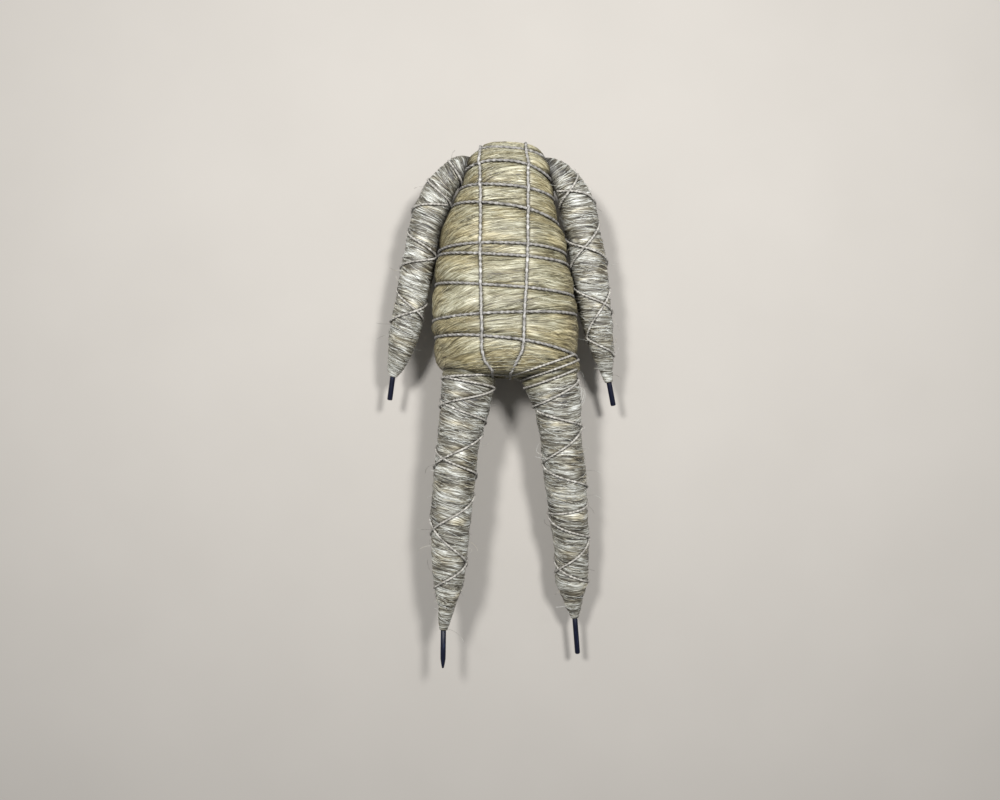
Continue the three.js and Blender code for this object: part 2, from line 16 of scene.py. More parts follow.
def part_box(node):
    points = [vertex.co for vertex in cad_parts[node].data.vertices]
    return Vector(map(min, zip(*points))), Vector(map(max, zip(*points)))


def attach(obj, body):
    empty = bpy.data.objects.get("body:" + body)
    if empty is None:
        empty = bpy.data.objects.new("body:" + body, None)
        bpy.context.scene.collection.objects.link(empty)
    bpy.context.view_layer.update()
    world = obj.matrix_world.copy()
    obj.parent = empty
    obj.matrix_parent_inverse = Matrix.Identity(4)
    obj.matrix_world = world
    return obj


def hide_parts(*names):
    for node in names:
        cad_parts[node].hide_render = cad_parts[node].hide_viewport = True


MM = 0.001
SEED = 7

# Sizes of the torso
TORSO_LENGTH = 126.0
TORSO_WIDTH = 73.0
TORSO_DEPTH = 58.0
BACK_PRESSED_FLAT = 1.2
TOW_BULGE = 2.0
SQUARENESS = 2.3
RESTING_DEPTH = 0.78

# Sizes of the limbs
ARM_LENGTH = 126.0
ARM_THICKNESS = 17.4
LEG_LENGTH = 144.0
LEG_THICKNESS = 27.5
SHOULDER_BELOW_NECK_END = 13.0
SHOULDER_HEIGHT = 24.0
HIP_ABOVE_CROTCH = 14.0
HIP_HEIGHT = 31.0

# Sizes of the twine, thread and wire
TWINE_DIAMETER = 1.5
THREAD_DIAMETER = 1.2
WIRE_DIAMETER = 2.8
ARM_WIRE_OUT = 13.0
LEG_WIRE_OUT = 20.0
WIRE_SEAT = 8.0
TOW_ROUND_WIRE = 0.5
GAP = 0.3

# Where the shoulders and hips lie out from the middle, as shares of the torso's width
SHOULDER_OUT = 0.22
SHOULDER_SHIFT = 0.01
HIP_OUT = 0.25
HIP_SHIFT = 0.016

# How the torso rounds over: at its neck end, above its second turn, down to its crotch and between turns
NECK_ROUNDNESS = 2.2
FIRST_TURN_ROUNDNESS = 1.8
CROTCH_DROP = 1.1
CROTCH_EDGE = 9
CROTCH_CURVE = 3
BULGE_FULLNESS = 0.75

# How far the twine and thread stand out of the tow
WINDING_LIFT = 0.6
LENGTHWISE_LIFT = 0.35
CROSSING_LIFT = 1.5
END_LIFT = 0.7
THREAD_LIFT = 0.36 * THREAD_DIAMETER
THREAD_BELOW_BUTTOCKS = 0.15

# How the plies of the twine and thread lie: the length of one lay, and how finely they are meshed
TWINE_PLIES = {"Thickness": TWINE_DIAMETER * 1.02, "Lay": 6.0, "Step": 0.55, "Sides": 10}
THREAD_PLIES = {"Thickness": THREAD_DIAMETER * 1.06, "Lay": 4.0, "Step": 0.5, "Sides": 8}

# The levels at which the lengthwise twines turn over the neck end and under the crotch
NECK_LEVEL = 1.45
CROTCH_LEVELS = (9.35, 9.65, 9.84)

# How deep the twine and thread press the tow in, and how wide the groove is on each side
TORSO_PRESS = (0.9, 2.4)
LIMB_PRESS = (0.8, 2.0)

# How far the painted shade in the narrow places beside the torso reaches
ARM_SHADE_REACH = 4.0
LEG_SHADE_REACH = 1.8

# Single strands and stray hairs: how many there are and how thick they are
TORSO_STRANDS = 1550
TORSO_STRAND_THICKNESS = 0.22
LIMB_STRANDS = 520
LIMB_STRAND_THICKNESS = 0.2
LIMB_HAIRS = 45
HAIR_THICKNESS = 0.13
HAIR_PLACES = 300
STRAND_POINTS = 11
STRAND_SIDES = 3

# The loose loop at the figure's left hip, from the tow and back to it
HIP_LOOP = [
    (31.0, -2.0, 38.5), (37.7, -3.8, 37), (41.8, -5.8, 34.5), (40.8, -12.6, 32), (36.1, -15.2, 34),
    (31, -13, 38),
]
HIP_LOOP_STRANDS = 7
HIP_LOOP_GIRTH = 2.8

# The relief of the tow, and how steeply and how curved it lies
TORSO_RELIEF = {
    "Lock_height": 0.7, "Lock_width": 4.2, "Fibre_height": 0.4, "Fibre_width": 1.8, "Lump_height": 1.6,
    "Slope": 0.2, "Curl": 0.004,
}
LIMB_RELIEF = {
    "Lock_height": 0.5, "Lock_width": 3.6, "Fibre_height": 0.35, "Fibre_width": 1.9, "Lump_height": 1.5,
    "Slope": -0.16, "Curl": 0.0,
}

# How golden the limbs are, and the shares of a leg's length between which straw tow gives way to grey
LIMB_GOLD = 0.2
STRAW_ENDS = {"right_leg": (0.07, 0.105), "left_leg": (0.09, 0.13)}

# Where the tow lies flat: near the table, and from a share of a limb's length on
TABLE_CONTACT = 0.6
TIP_STARTS = 0.93
TIP_RUN = 0.07

# How the camera hangs over the torso, and its lens for a sensor 36 mm wide
CAMERA_FROM_TORSO = np.array([-2.35, -10.0, 450.0])
CAMERA_LENS = 29.08

# The lights, in metres and watts: two keys that mirror each other, and a dim room
KEY_PLACE = (0.25, 0.24, 0.68)
KEY_TARGET = (0, -0.02, 0.02)
KEY_SIZE = 0.12
LEFT_KEY_POWER = 4.5
RIGHT_KEY_POWER = 3.9
ROOM_COLOUR = (0.93, 0.96, 1.0, 1.0)
ROOM_STRENGTH = 0.2

# How finely the tow is meshed
TORSO_ROWS = 225
TORSO_COLUMNS = 208
LIMB_ROWS = 250
LIMB_COLUMNS = 80

# The neck end, the nine turns of twine and the crotch. Each gives how high it lies at the figure's right
# side, at the front and at its left side, then its width, depth, shift to the left and swell below it.
STATIONS = np.array([
    (0.994, 0.994, 0.994, 0, 0, 0.038, 0.3),
    (0.963, 0.952, 0.93, 0.465, 0.37, 0.053, 0.9),
    (0.863, 0.881, 0.825, 0.63, 0.69, 0.022, 0.5),
    (0.794, 0.779, 0.752, 0.665, 0.75, 0.018, 0.5),
    (0.721, 0.698, 0.646, 0.755, 0.79, 0.004, 1.2),
    (0.534, 0.540, 0.521, 0.895, 0.88, -0.016, 0.1),
    (0.514, 0.490, 0.475, 0.91, 0.89, -0.01, 0.9),
    (0.394, 0.365, 0.344, 0.965, 0.95, 0, 0.9),
    (0.244, 0.260, 0.268, 1, 0.99, 0, 0.8),
    (0.177, 0.163, 0.098, 0.985, 1, 0.01, 0.9),
    (0.016, 0.016, 0.016, 0, 0, 0.03, 0),
])
RIGHT, FRONT, LEFT, WIDTH, DEPTH, SHIFT, SWELL = range(7)
LAST_TURN = len(STATIONS) - 2
CROTCH = len(STATIONS) - 1

# The two lengthwise twines: how far each lies from the middle at the neck end, at every turn from the second
# on, at two levels below the last turn and at the crotch, as shares of the width
LENGTHWISE = [
    [-0.168, -0.17, -0.166, -0.163, -0.165, -0.165, -0.16, -0.155, -0.15, -0.155, -0.135, -0.085],
    [0.15, 0.16, 0.16, 0.158, 0.155, 0.152, 0.142, 0.13, 0.125, 0.117, 0.078, 0.04],
]

# A limb's middle line: how far out, down and nearer the table it lies, as shares of its length
RIGHT_ARM_LINE = [
    (0, 0, 0), (0.058, 0.012, -0.02), (0.126, 0.075, -0.026), (0.168, 0.147, -0.023),
    (0.207, 0.269, -0.014), (0.23, 0.38, -0.006), (0.26, 0.52, 0.004), (0.293, 0.66, 0.016),
    (0.325, 0.795, 0.03), (0.351, 0.875, 0.042),
]
LEFT_ARM_LINE = [
    (0, 0, 0), (0.06, 0.018, -0.02), (0.123, 0.075, -0.026), (0.162, 0.147, -0.023), (0.19, 0.269, -0.014),
    (0.214, 0.38, -0.006), (0.232, 0.52, 0.004), (0.258, 0.66, 0.016), (0.285, 0.795, 0.03),
    (0.31, 0.9, 0.044),
]
RIGHT_LEG_LINE = [
    (0, 0, 0), (0.02, 0.163, 0), (0.044, 0.296, 0.003), (0.06, 0.434, 0.007), (0.073, 0.571, 0.01),
    (0.081, 0.706, 0.014), (0.085, 0.844, 0.017), (0.103, 0.998, 0.021),
]
LEFT_LEG_LINE = [
    (0, 0, 0), (0.052, 0.163, 0.01), (0.07, 0.298, 0.028), (0.087, 0.437, 0.048), (0.1, 0.579, 0.067),
    (0.114, 0.719, 0.087), (0.118, 0.865, 0.106), (0.129, 0.98, 0.118),
]

# A limb's girth: shares of its length, each with a share of its thickness
RIGHT_ARM_GIRTH = [
    (0, 0.5), (0.05, 0.7), (0.14, 0.82), (0.24, 0.96), (0.3, 1.05), (0.45, 0.97), (0.56, 1.01),
    (0.67, 0.92), (0.82, 0.92), (0.9, 0.71), (0.97, 0.45),
]
LEFT_ARM_GIRTH = [
    (0, 0.5), (0.06, 0.66), (0.15, 0.85), (0.3, 1.09), (0.37, 1.04), (0.45, 1.09), (0.58, 1.09),
    (0.66, 1.03), (0.8, 0.8), (0.88, 0.66), (0.95, 0.38),
]
RIGHT_LEG_GIRTH = [
    (0, 0.9), (0.08, 1), (0.163, 0.945), (0.296, 0.82), (0.36, 0.785), (0.43, 0.8), (0.5, 0.775),
    (0.571, 0.78), (0.64, 0.71), (0.706, 0.69), (0.79, 0.625), (0.844, 0.53), (0.91, 0.34),
]
LEFT_LEG_GIRTH = [
    (0, 0.95), (0.08, 1.05), (0.163, 0.93), (0.22, 0.86), (0.298, 0.79), (0.37, 0.79), (0.45, 0.815),
    (0.52, 0.77), (0.62, 0.73), (0.719, 0.67), (0.8, 0.635), (0.865, 0.625), (0.92, 0.42),
]

# Where a limb's thread passes its sides, as shares of its length, down the limb and up again
RIGHT_ARM_THREAD = [
    0.088, 0.11, 0.182, 0.23, 0.389, 0.478, 0.635, 0.739, 0.785, 0.671, 0.546, 0.47, 0.311, 0.23,
]
LEFT_ARM_THREAD = [
    0.144, 0.269, 0.378, 0.509, 0.579, 0.722, 0.788, 0.907, 0.818, 0.603, 0.513, 0.333, 0.234, 0.139,
]
RIGHT_LEG_THREAD = [
    0.092, 0.112, 0.183, 0.23, 0.355, 0.431, 0.598, 0.765, 0.861, 0.751, 0.661, 0.508, 0.423, 0.276,
    0.21, 0.112, 0.103, 0.058,
]
LEFT_LEG_THREAD = [
    0.183, 0.284, 0.4, 0.507, 0.602, 0.701, 0.782, 0.867, 0.829, 0.69, 0.587, 0.568, 0.403, 0.276,
    0.183, 0.124, 0.096, 0.09, 0.064, 0.064, 0.035, 0.04,
]


class Field:
    """A node's socket. Its arithmetic adds the nodes that work the result out."""

    def __init__(self, nodes, socket):
        self.nodes = nodes
        self.socket = socket

    def worked(self, operation, first, second):
        return self.nodes.add("ShaderNodeMath", {"operation": operation}, {0: first, 1: second})

    def __add__(self, other):
        return self.worked("ADD", self, other)

    def __radd__(self, other):
        return self.worked("ADD", other, self)

    def __sub__(self, other):
        return self.worked("SUBTRACT", self, other)

    def __rsub__(self, other):
        return self.worked("SUBTRACT", other, self)

    def __mul__(self, other):
        return self.worked("MULTIPLY", self, other)

    def __rmul__(self, other):
        return self.worked("MULTIPLY", other, self)

    def __truediv__(self, other):
        return self.worked("DIVIDE", self, other)

    def __rtruediv__(self, other):
        return self.worked("DIVIDE", other, self)


class Nodes:
    """A node tree that is written as expressions."""

    def __init__(self, tree):
        self.tree = tree

    def add(self, kind, settings=(), sockets=(), out=0):
        """Adds any node: its settings first, then the values or links of its sockets."""
        node = self.tree.nodes.new(kind)
        for name, value in dict(settings).items():
            if name == "stops":
                set_stops(node.color_ramp, value)
            else:
                setattr(node, name, value)
        for name, value in dict(sockets).items():
            socket = pick(node.inputs, name)
            if isinstance(value, Field):
                self.tree.links.new(value.socket, socket)
            else:
                socket.default_value = value
        return Field(self, pick(node.outputs, out))

    def blend(self, share, first, second, kind="MIX"):
        """A colour between two others."""
        return self.add(
            "ShaderNodeMix", {"data_type": "RGBA", "blend_type": kind},
            {"Factor_Float": share, "A_Color": first, "B_Color": second}, "Result_Color",
        )

    def stretched(self, vector, scale):
        return self.add("ShaderNodeVectorMath", {"operation": "MULTIPLY"}, {0: vector, 1: scale})

    def scaled(self, vector, size):
        return self.add("ShaderNodeVectorMath", {"operation": "SCALE"}, {0: vector, "Scale": size})

    def joined(self, *parts):
        """A vector made of its parts."""
        return self.add("ShaderNodeCombineXYZ", {}, dict(enumerate(parts)))

    def parts(self, vector):
        node = self.add("ShaderNodeSeparateXYZ", {}, {0: vector}).socket.node
        return [Field(self, socket) for socket in node.outputs]

    def noise(self, vector, scale, detail=2.0, roughness=0.5):
        return self.add(
            "ShaderNodeTexNoise", {},
            {"Vector": vector, "Scale": scale, "Detail": detail, "Roughness": roughness},
        )

    def between(self, value, low, high):
        """0 below low, 1 above high, and smooth between them."""
        return self.add(
            "ShaderNodeMapRange", {"interpolation_type": "SMOOTHSTEP"},
            {"Value": value, "From Min": low, "From Max": high},
        )

    def bump(self, height, strength, distance):
        return self.add(
            "ShaderNodeBump", {}, {"Height": height, "Strength": strength, "Distance": distance}, "Normal"
        )

    def named(self, name, kind="FLOAT"):
        """A number or a vector that is kept on each point."""
        return self.add("GeometryNodeInputNamedAttribute", {"data_type": kind}, {"Name": name}, "Attribute")

    def kept(self, geometry, name, value):
        """Keeps a number on each point."""
        return self.add(
            "GeometryNodeStoreNamedAttribute", {"data_type": "FLOAT", "domain": "POINT"},
            {"Geometry": geometry, "Name": name, "Value": value},
        )

    def swept(self, curve, section):
        return self.add(
            "GeometryNodeCurveToMesh", {}, {"Curve": curve, "Profile Curve": section, "Fill Caps": True}
        )


class Lay:
    """The way that tow lies, read from its skin: across it, into it and down it, in millimetres."""

    def __init__(self, nodes, vector, slope, curl):
        self.nodes = nodes
        self.across, self.depth, self.down = nodes.parts(vector)
        self.waver = nodes.noise(nodes.stretched(vector, (0.05, 0.05, 0.07)), 1.0, 1.0)
        self.lying = self.down + self.across * slope - self.across * self.across * curl + self.waver * 6.0

    def fibres(self, level, run, width, detail, roughness):
        """Noise that is long along the fibres and fine across them."""
        place = self.nodes.joined(self.across * run, self.depth * run, level / width)
        return self.nodes.noise(place, 1.0, detail, roughness)


def pick(sockets, name):
    if isinstance(name, int):
        return sockets[name]
    return next(s for s in sockets if s.enabled and name in (s.identifier, s.name))


def set_stops(ramp, stops):
    while len(ramp.elements) < len(stops):
        ramp.elements.new(1.0)
    for element, (place, colour) in zip(ramp.elements, stops):
        element.position = place
        element.color = colour


def tone(red, green, blue):
    """A colour as it is seen, 0 to 255, made linear."""
    shares = np.array([red, green, blue]) / 255
    linear = np.where(shares <= 0.04045, shares / 12.92, ((shares + 0.055) / 1.055) ** 2.4)
    return (*linear.tolist(), 1.0)


def mix(first, second, share):
    return first + (second - first) * share


def turn_height(turn, angle):
    """How high a turn lies at an angle, measured from the front towards the figure's left."""
    sideways = np.sin(angle)
    slope = (turn[..., LEFT] - turn[..., RIGHT]) / 2
    dip = (turn[..., LEFT] + turn[..., RIGHT]) / 2 - turn[..., FRONT]
    return TORSO_LENGTH * (turn[..., FRONT] + slope * sideways + dip * sideways**2)


def torso_middle(level):
    above = np.clip(np.floor(level).astype(int), 0, CROTCH - 1)
    share = level - above
    resting = np.maximum(STATIONS[:, DEPTH], RESTING_DEPTH)
    half_depth = mix(resting[above], resting[above + 1], share) * TORSO_DEPTH / 2
    x = mix(STATIONS[above, SHIFT], STATIONS[above + 1, SHIFT], share) * TORSO_WIDTH
    return x, half_depth - BACK_PRESSED_FLAT


def torso_point(level, angle):
    """A point on the torso's surface. A level counts the stations from 0 at the neck end."""
    level, angle = np.broadcast_arrays(np.asarray(level, float), np.asarray(angle, float))
    above = np.clip(np.floor(level).astype(int), 0, CROTCH - 1)
    share = np.clip(level - above, 0, 1)
    upper = STATIONS[above]
    lower = STATIONS[above + 1]
    at_neck = above == 0
    at_crotch = above == LAST_TURN
    start = np.where(at_crotch, share**CROTCH_DROP, share)
    grow = np.where(at_neck, np.sqrt(1 - (1 - share) ** NECK_ROUNDNESS), share)
    grow = np.where(above == 1, 1 - (1 - share) ** FIRST_TURN_ROUNDNESS, grow)
    grow = np.where(at_crotch, 1 - (1 - share**CROTCH_EDGE) ** (1 / CROTCH_CURVE), grow)
    swell = TOW_BULGE * upper[..., SWELL] * np.sin(math.pi * share) ** BULGE_FULLNESS
    half_width = mix(upper[..., WIDTH], lower[..., WIDTH], grow) * TORSO_WIDTH / 2 + swell
    half_depth = mix(upper[..., DEPTH], lower[..., DEPTH], grow) * TORSO_DEPTH / 2 + swell
    middle_x, middle_z = torso_middle(level)
    across = np.sin(angle)
    up = np.cos(angle)
    x = middle_x + half_width * np.sign(across) * np.abs(across) ** (2 / SQUARENESS)
    y = mix(turn_height(upper, angle), turn_height(lower, angle), start)
    z = middle_z + half_depth * np.sign(up) * np.abs(up) ** (2 / SQUARENESS)
    return np.stack([x, y, np.maximum(z, 0)], -1)


def torso_outward(level, angle):
    """The way straight out of the torso's surface, smoothed over the groove under a turn."""
    reach = 0.2
    along = torso_point(np.maximum(level - reach, 0.02), angle)
    along = along - torso_point(np.minimum(level + reach, CROTCH - 0.01), angle)
    around = torso_point(level, angle + reach / 2) - torso_point(level, angle - reach / 2)
    out = -np.cross(along, around)
    return out / np.linalg.norm(out, axis=-1, keepdims=True)


def above_torso(level, angle, distance):
    """A point a given distance out of the torso's surface, never under the table."""
    point = torso_point(level, angle) + torso_outward(level, angle) * np.asarray(distance)[..., None]
    point[..., 2] = np.maximum(point[..., 2], TWINE_DIAMETER / 2)
    return point


def even_levels(count):
    """Many levels with how far each is from the neck end, and a few that lie evenly along the surface."""
    samples = 4001
    fine = np.linspace(0, CROTCH, samples)
    ways = [torso_point(fine, angle) for angle in (0, math.pi / 2, -math.pi / 2)]
    steps = np.mean([np.linalg.norm(np.diff(way, axis=0), axis=1) for way in ways], axis=0)
    reached = np.concatenate([[0], np.cumsum(steps)])
    return fine, reached, np.interp(np.linspace(0, reached[-1], count), reached, fine)


def catmull_rom(points, count=2000):
    """A smooth line through the points, evenly sampled."""
    per_piece = 60
    ends = [2 * points[0] - points[1], *points, 2 * points[-1] - points[-2]]
    pieces = []
    for p0, p1, p2, p3 in zip(ends, ends[1:], ends[2:], ends[3:]):
        t0, t1, t2 = (max(np.linalg.norm(b - a), 1e-4) ** 0.5 for a, b in ((p0, p1), (p1, p2), (p2, p3)))
        m1 = ((p1 - p0) / t0 - (p2 - p0) / (t0 + t1) + (p2 - p1) / t1) * t1
        m2 = ((p2 - p1) / t1 - (p3 - p1) / (t1 + t2) + (p3 - p2) / t2) * t1
        s = np.linspace(0, 1, per_piece, endpoint=False)[:, None]
        pieces.append(
            p1 + m1 * s + (-3 * p1 + 3 * p2 - 2 * m1 - m2) * s**2 + (2 * p1 - 2 * p2 + m1 + m2) * s**3
        )
    line = np.concatenate([*pieces, points[-1][None]])
    reached = np.concatenate([[0], np.cumsum(np.linalg.norm(np.diff(line, axis=0), axis=1))])
    even = np.linspace(0, reached[-1], count)
    return np.stack([np.interp(even, reached, line[:, i]) for i in range(3)], 1)


class Limb:
    """An arm or leg, with the line that it follows from its root inside the torso to the end of its tow."""

    def __init__(self, name, side, is_leg, line, girth, thread, wire_way, pinched=False):
        self.name = name
        self.is_leg = is_leg
        self.length = LEG_LENGTH if is_leg else ARM_LENGTH
        self.thickness = LEG_THICKNESS if is_leg else ARM_THICKNESS
        self.wire_out = LEG_WIRE_OUT if is_leg else ARM_WIRE_OUT
        self.shade_reach = LEG_SHADE_REACH if is_leg else ARM_SHADE_REACH
        self.girth = np.array(girth)
        self.thread = thread
        self.pinched = pinched
        if is_leg:
            root = np.array([(side * HIP_OUT + HIP_SHIFT) * TORSO_WIDTH, HIP_ABOVE_CROTCH, HIP_HEIGHT])
        else:
            out = (side * SHOULDER_OUT + SHOULDER_SHIFT) * TORSO_WIDTH
            root = np.array([out, TORSO_LENGTH - SHOULDER_BELOW_NECK_END, SHOULDER_HEIGHT])
        points = np.array([(side * out, -down, -lower) for out, down, lower in line]) * self.length + root
        self.line = catmull_rom(points)
        self.real_length = np.sum(np.linalg.norm(np.diff(self.line, axis=0), axis=1))
        self.tip = self.line[-1]
        way = np.array([side * wire_way[0], -wire_way[1], -wire_way[2]])
        self.wire_way = way / np.linalg.norm(way)

    def sections(self, share):
        """The middle of the section at a share of the length, with the ways across it and up from it."""
        place = np.clip(share, 0, 1) * (len(self.line) - 1)
        whole = np.arange(len(self.line))
        middle = np.stack([np.interp(place, whole, self.line[:, i]) for i in range(3)], -1)
        slopes = np.gradient(self.line, axis=0)
        along = np.stack([np.interp(place, whole, slopes[:, i]) for i in range(3)], -1)
        along /= np.linalg.norm(along, axis=-1, keepdims=True)
        across = np.cross(np.array([0.0, 0.0, 1.0]), along)
        across *= np.sign(across[..., :1])
        across /= np.linalg.norm(across, axis=-1, keepdims=True)
        up = np.cross(across, along)
        up *= np.sign(up[..., 2:])
        return middle, across, up

    def radius(self, share):
        tip_radius = WIRE_DIAMETER / 2 + GAP + TOW_ROUND_WIRE
        shares = [*self.girth[:, 0], 1.0]
        radii = [*(self.girth[:, 1] * self.thickness / 2), tip_radius]
        return np.interp(share, shares, radii)

    def point(self, share, angle):
        middle, across, up = self.sections(share)
        reach = self.radius(share)[..., None]
        return middle + (across * np.sin(angle)[..., None] + up * np.cos(angle)[..., None]) * reach


def smoothed(values, width):
    """A list of numbers, averaged along its length."""
    kernel = np.hanning(2 * width + 3)[1:-1]
    kernel /= kernel.sum()
    return np.convolve(np.pad(values, width, mode="edge"), kernel, "valid")


def thread_path(limb, torso_tree):
    """The thread lies on whatever is outermost round the limb: its own tow, or the torso at its root."""
    per_half = 28
    end_steps = 5
    end_sunk = 2.5
    marks = np.array(limb.thread)
    places = np.arange(len(marks)) * per_half
    steps = np.arange(places[-1] + 1)
    share = smoothed(np.interp(steps, places, marks), per_half // 4)
    angle = math.pi * (steps / per_half - 0.5)
    behind = np.where((steps // per_half) % 2 == 1, np.abs(np.cos(angle)), 0)
    if limb.is_leg:
        share = np.maximum(share, THREAD_BELOW_BUTTOCKS * behind)
    middle, across, up = limb.sections(share)
    way = across * np.sin(angle)[:, None] + up * np.cos(angle)[:, None]
    reach = limb.radius(share)
    for i in range(len(steps)):
        start = Vector(middle[i])
        place, normal, _, distance = torso_tree.ray_cast(start, Vector(way[i]))
        if place is not None and normal.dot(Vector(way[i])) > 0:
            reach[i] = max(reach[i], distance)
    reach = smoothed(reach, 3)
    ends = np.minimum(steps, steps[::-1]) / end_steps
    sunk = np.where(ends < 1, (1 - ends) * end_sunk, 0)
    return middle + way * (reach + THREAD_LIFT - sunk)[:, None]


def winding_path():
    """The nine turns round the torso are one winding, which goes down to the next turn across the back."""
    half = 90
    share = np.arange(half) / half
    eased = share * share * (3 - 2 * share)
    lift = np.full(half, WINDING_LIFT)
    points = []
    for turn in range(1, LAST_TURN + 1):
        points.append(above_torso(np.full(half, float(turn)), math.pi * (share - 0.5), lift))
        level = turn + (0 if turn == LAST_TURN else 1) * eased
        points.append(above_torso(level, math.pi * (share + 0.5), lift))
    return np.concatenate(points)


def angle_at(level, offset):
    """The angle at which the torso's front is a given way from the middle line."""
    side = np.sign(offset)
    middle, _ = torso_middle(level)
    edge = torso_point(level, side * math.pi / 2)[..., 0] - middle
    share = np.clip((offset * TORSO_WIDTH - middle) / edge, 0, 1)
    return side * np.arcsin(share ** (SQUARENESS / 2))


def level_at(angle, x, wide, narrow):
    """The level near an end of the torso at which its surface is a given way from the middle."""
    middle, _ = torso_middle(np.array(wide))
    halvings = 30
    for _ in range(halvings):
        level = (wide + narrow) / 2
        if abs(torso_point(level, angle)[0] - middle) > abs(x - middle):
            wide = level
        else:
            narrow = level
    return (wide + narrow) / 2


def round_end(offset, wide, end, steps=14):
    """A lengthwise twine passes round an end of the torso at one distance from the middle line."""
    start = float(angle_at(np.array(wide), offset))
    finish = math.copysign(math.pi, offset) - start
    angles = np.linspace(start, finish, steps + 1)
    levels = np.array([level_at(a, offset * TORSO_WIDTH, wide, end) for a in angles])
    return above_torso(levels, angles, np.full(steps + 1, END_LIFT))


def lengthwise_path(offsets):
    """Down the front over the turns, under the crotch, up the back and over the neck end."""
    levels = np.array([*range(2, LAST_TURN + 1), *CROTCH_LEVELS[:-1]])
    samples = 150
    down = np.linspace(levels[0], levels[-1], samples)
    across = np.interp(down, levels, offsets[1:-1])
    nearest = np.abs(down - np.round(down)) * 4
    crossing = np.where(down < LAST_TURN + 0.1, np.clip(1 - nearest, 0, 1), 0)
    lift = LENGTHWISE_LIFT + CROSSING_LIFT * crossing**1.5
    angle = angle_at(down, across)
    neck = round_end(offsets[0], NECK_LEVEL, 0)[::-1]
    crotch = round_end(offsets[-1], CROTCH_LEVELS[-1], CROTCH)
    front = above_torso(down, angle, lift)
    back = above_torso(down, math.pi - angle, lift)[::-1]
    return np.concatenate([neck, front, crotch, back, neck[:1]])


def grid_mesh(name, rows, first, last, **attributes):
    """A closed skin over rows of points, with a point at each end."""
    count, round_count, _ = rows.shape
    points = np.concatenate([rows.reshape(-1, 3), [first], [last]]) * MM
    i = np.arange(count - 1)[:, None] * round_count
    j = np.arange(round_count)[None, :]
    k = (j + 1) % round_count
    quads = np.stack([i + j, i + k, i + round_count + k, i + round_count + j], -1).reshape(-1, 4)
    top = count * round_count
    bottom = top + 1
    end = (count - 1) * round_count
    fans = [(top, int((n + 1) % round_count), n) for n in range(round_count)]
    fans += [(bottom, end + n, end + int((n + 1) % round_count)) for n in range(round_count)]
    mesh = bpy.data.meshes.new(name)
    mesh.from_pydata(points.tolist(), [], quads.tolist() + fans)
    for key, values in attributes.items():
        store(mesh, key, values)
    return mesh


def store(mesh, key, values):
    """Keeps a number or a vector on each point of a mesh."""
    values = np.asarray(values, np.float32)
    if values.ndim == 2:
        mesh.attributes.new(key, "FLOAT_VECTOR", "POINT").data.foreach_set("vector", values.ravel())
    else:
        mesh.attributes.new(key, "FLOAT", "POINT").data.foreach_set("value", values)


def faces_out(mesh):
    """Turns a closed mesh so that its faces point outwards."""
    mesh.calc_loop_triangles()
    points = np.zeros(len(mesh.vertices) * 3)
    mesh.vertices.foreach_get("co", points)
    corners = np.zeros(len(mesh.loop_triangles) * 3, int)
    mesh.loop_triangles.foreach_get("vertices", corners)
    a, b, c = points.reshape(-1, 3)[corners.reshape(-1, 3)].transpose(1, 0, 2)
    if np.einsum("ij,ij->i", a, np.cross(b, c)).sum() < 0:
        mesh.flip_normals()
    return mesh


def polylines(name, lines, **attributes):
    """Lines of points that a strand follows, with numbers for each point."""
    mesh = bpy.data.meshes.new(name)
    points = np.concatenate(lines) * MM
    starts = np.cumsum([0, *[len(line) for line in lines]])
    edges = np.concatenate([
        np.stack([np.arange(a, b - 1), np.arange(a + 1, b)], 1) for a, b in zip(starts, starts[1:])
    ])
    mesh.from_pydata(points.tolist(), edges.tolist(), [])
    for key, values in attributes.items():
        store(mesh, key, np.concatenate(values))
    return mesh


def shown(name, mesh):
    piece = bpy.data.objects.new(name, mesh)
    bpy.context.scene.collection.objects.link(piece)
    return piece


def geometry_tree(name, inputs):
    """A Geometry Nodes tree with named inputs. Gives the tree, its nodes and its inputs' sockets."""
    tree = bpy.data.node_groups.new(name, "GeometryNodeTree")
    tree.is_modifier = True
    tree.interface.new_socket(name="Geometry", in_out="INPUT", socket_type="NodeSocketGeometry")
    for label, kind in inputs.items():
        tree.interface.new_socket(name=label, in_out="INPUT", socket_type="NodeSocket" + kind)
    tree.interface.new_socket(name="Geometry", in_out="OUTPUT", socket_type="NodeSocketGeometry")
    nodes = Nodes(tree)
    source = tree.nodes.new("NodeGroupInput")
    sockets = {s.name: Field(nodes, s) for s in source.outputs if s.name}
    return tree, nodes, sockets


def close_tree(tree, nodes, geometry, material):
    """Every tree ends in real geometry with its material."""
    geometry = nodes.add("GeometryNodeSetShadeSmooth", {}, {"Geometry": geometry})
    geometry = nodes.add("GeometryNodeRealizeInstances", {}, {"Geometry": geometry})
    geometry = nodes.add("GeometryNodeSetMaterial", {}, {"Geometry": geometry, "Material": material})
    end = tree.nodes.new("NodeGroupOutput")
    tree.links.new(geometry.socket, end.inputs[0])
    return tree


def grown(name, mesh, tree, **values):
    """Runs a tree on a mesh and gives the result as a plain mesh object."""
    source = shown(name + "_source", mesh)
    modifier = source.modifiers.new("grown", "NODES")
    modifier.node_group = tree
    labels = {item.name: item.identifier for item in tree.interface.items_tree if item.in_out == "INPUT"}
    for label, value in values.items():
        modifier[labels[label.replace("_", " ").capitalize()]] = value
    graph = bpy.context.evaluated_depsgraph_get()
    result = bpy.data.meshes.new_from_object(source.evaluated_get(graph), depsgraph=graph)
    source.modifiers.clear()
    bpy.data.objects.remove(source)
    result.name = name
    return shown(name, result)


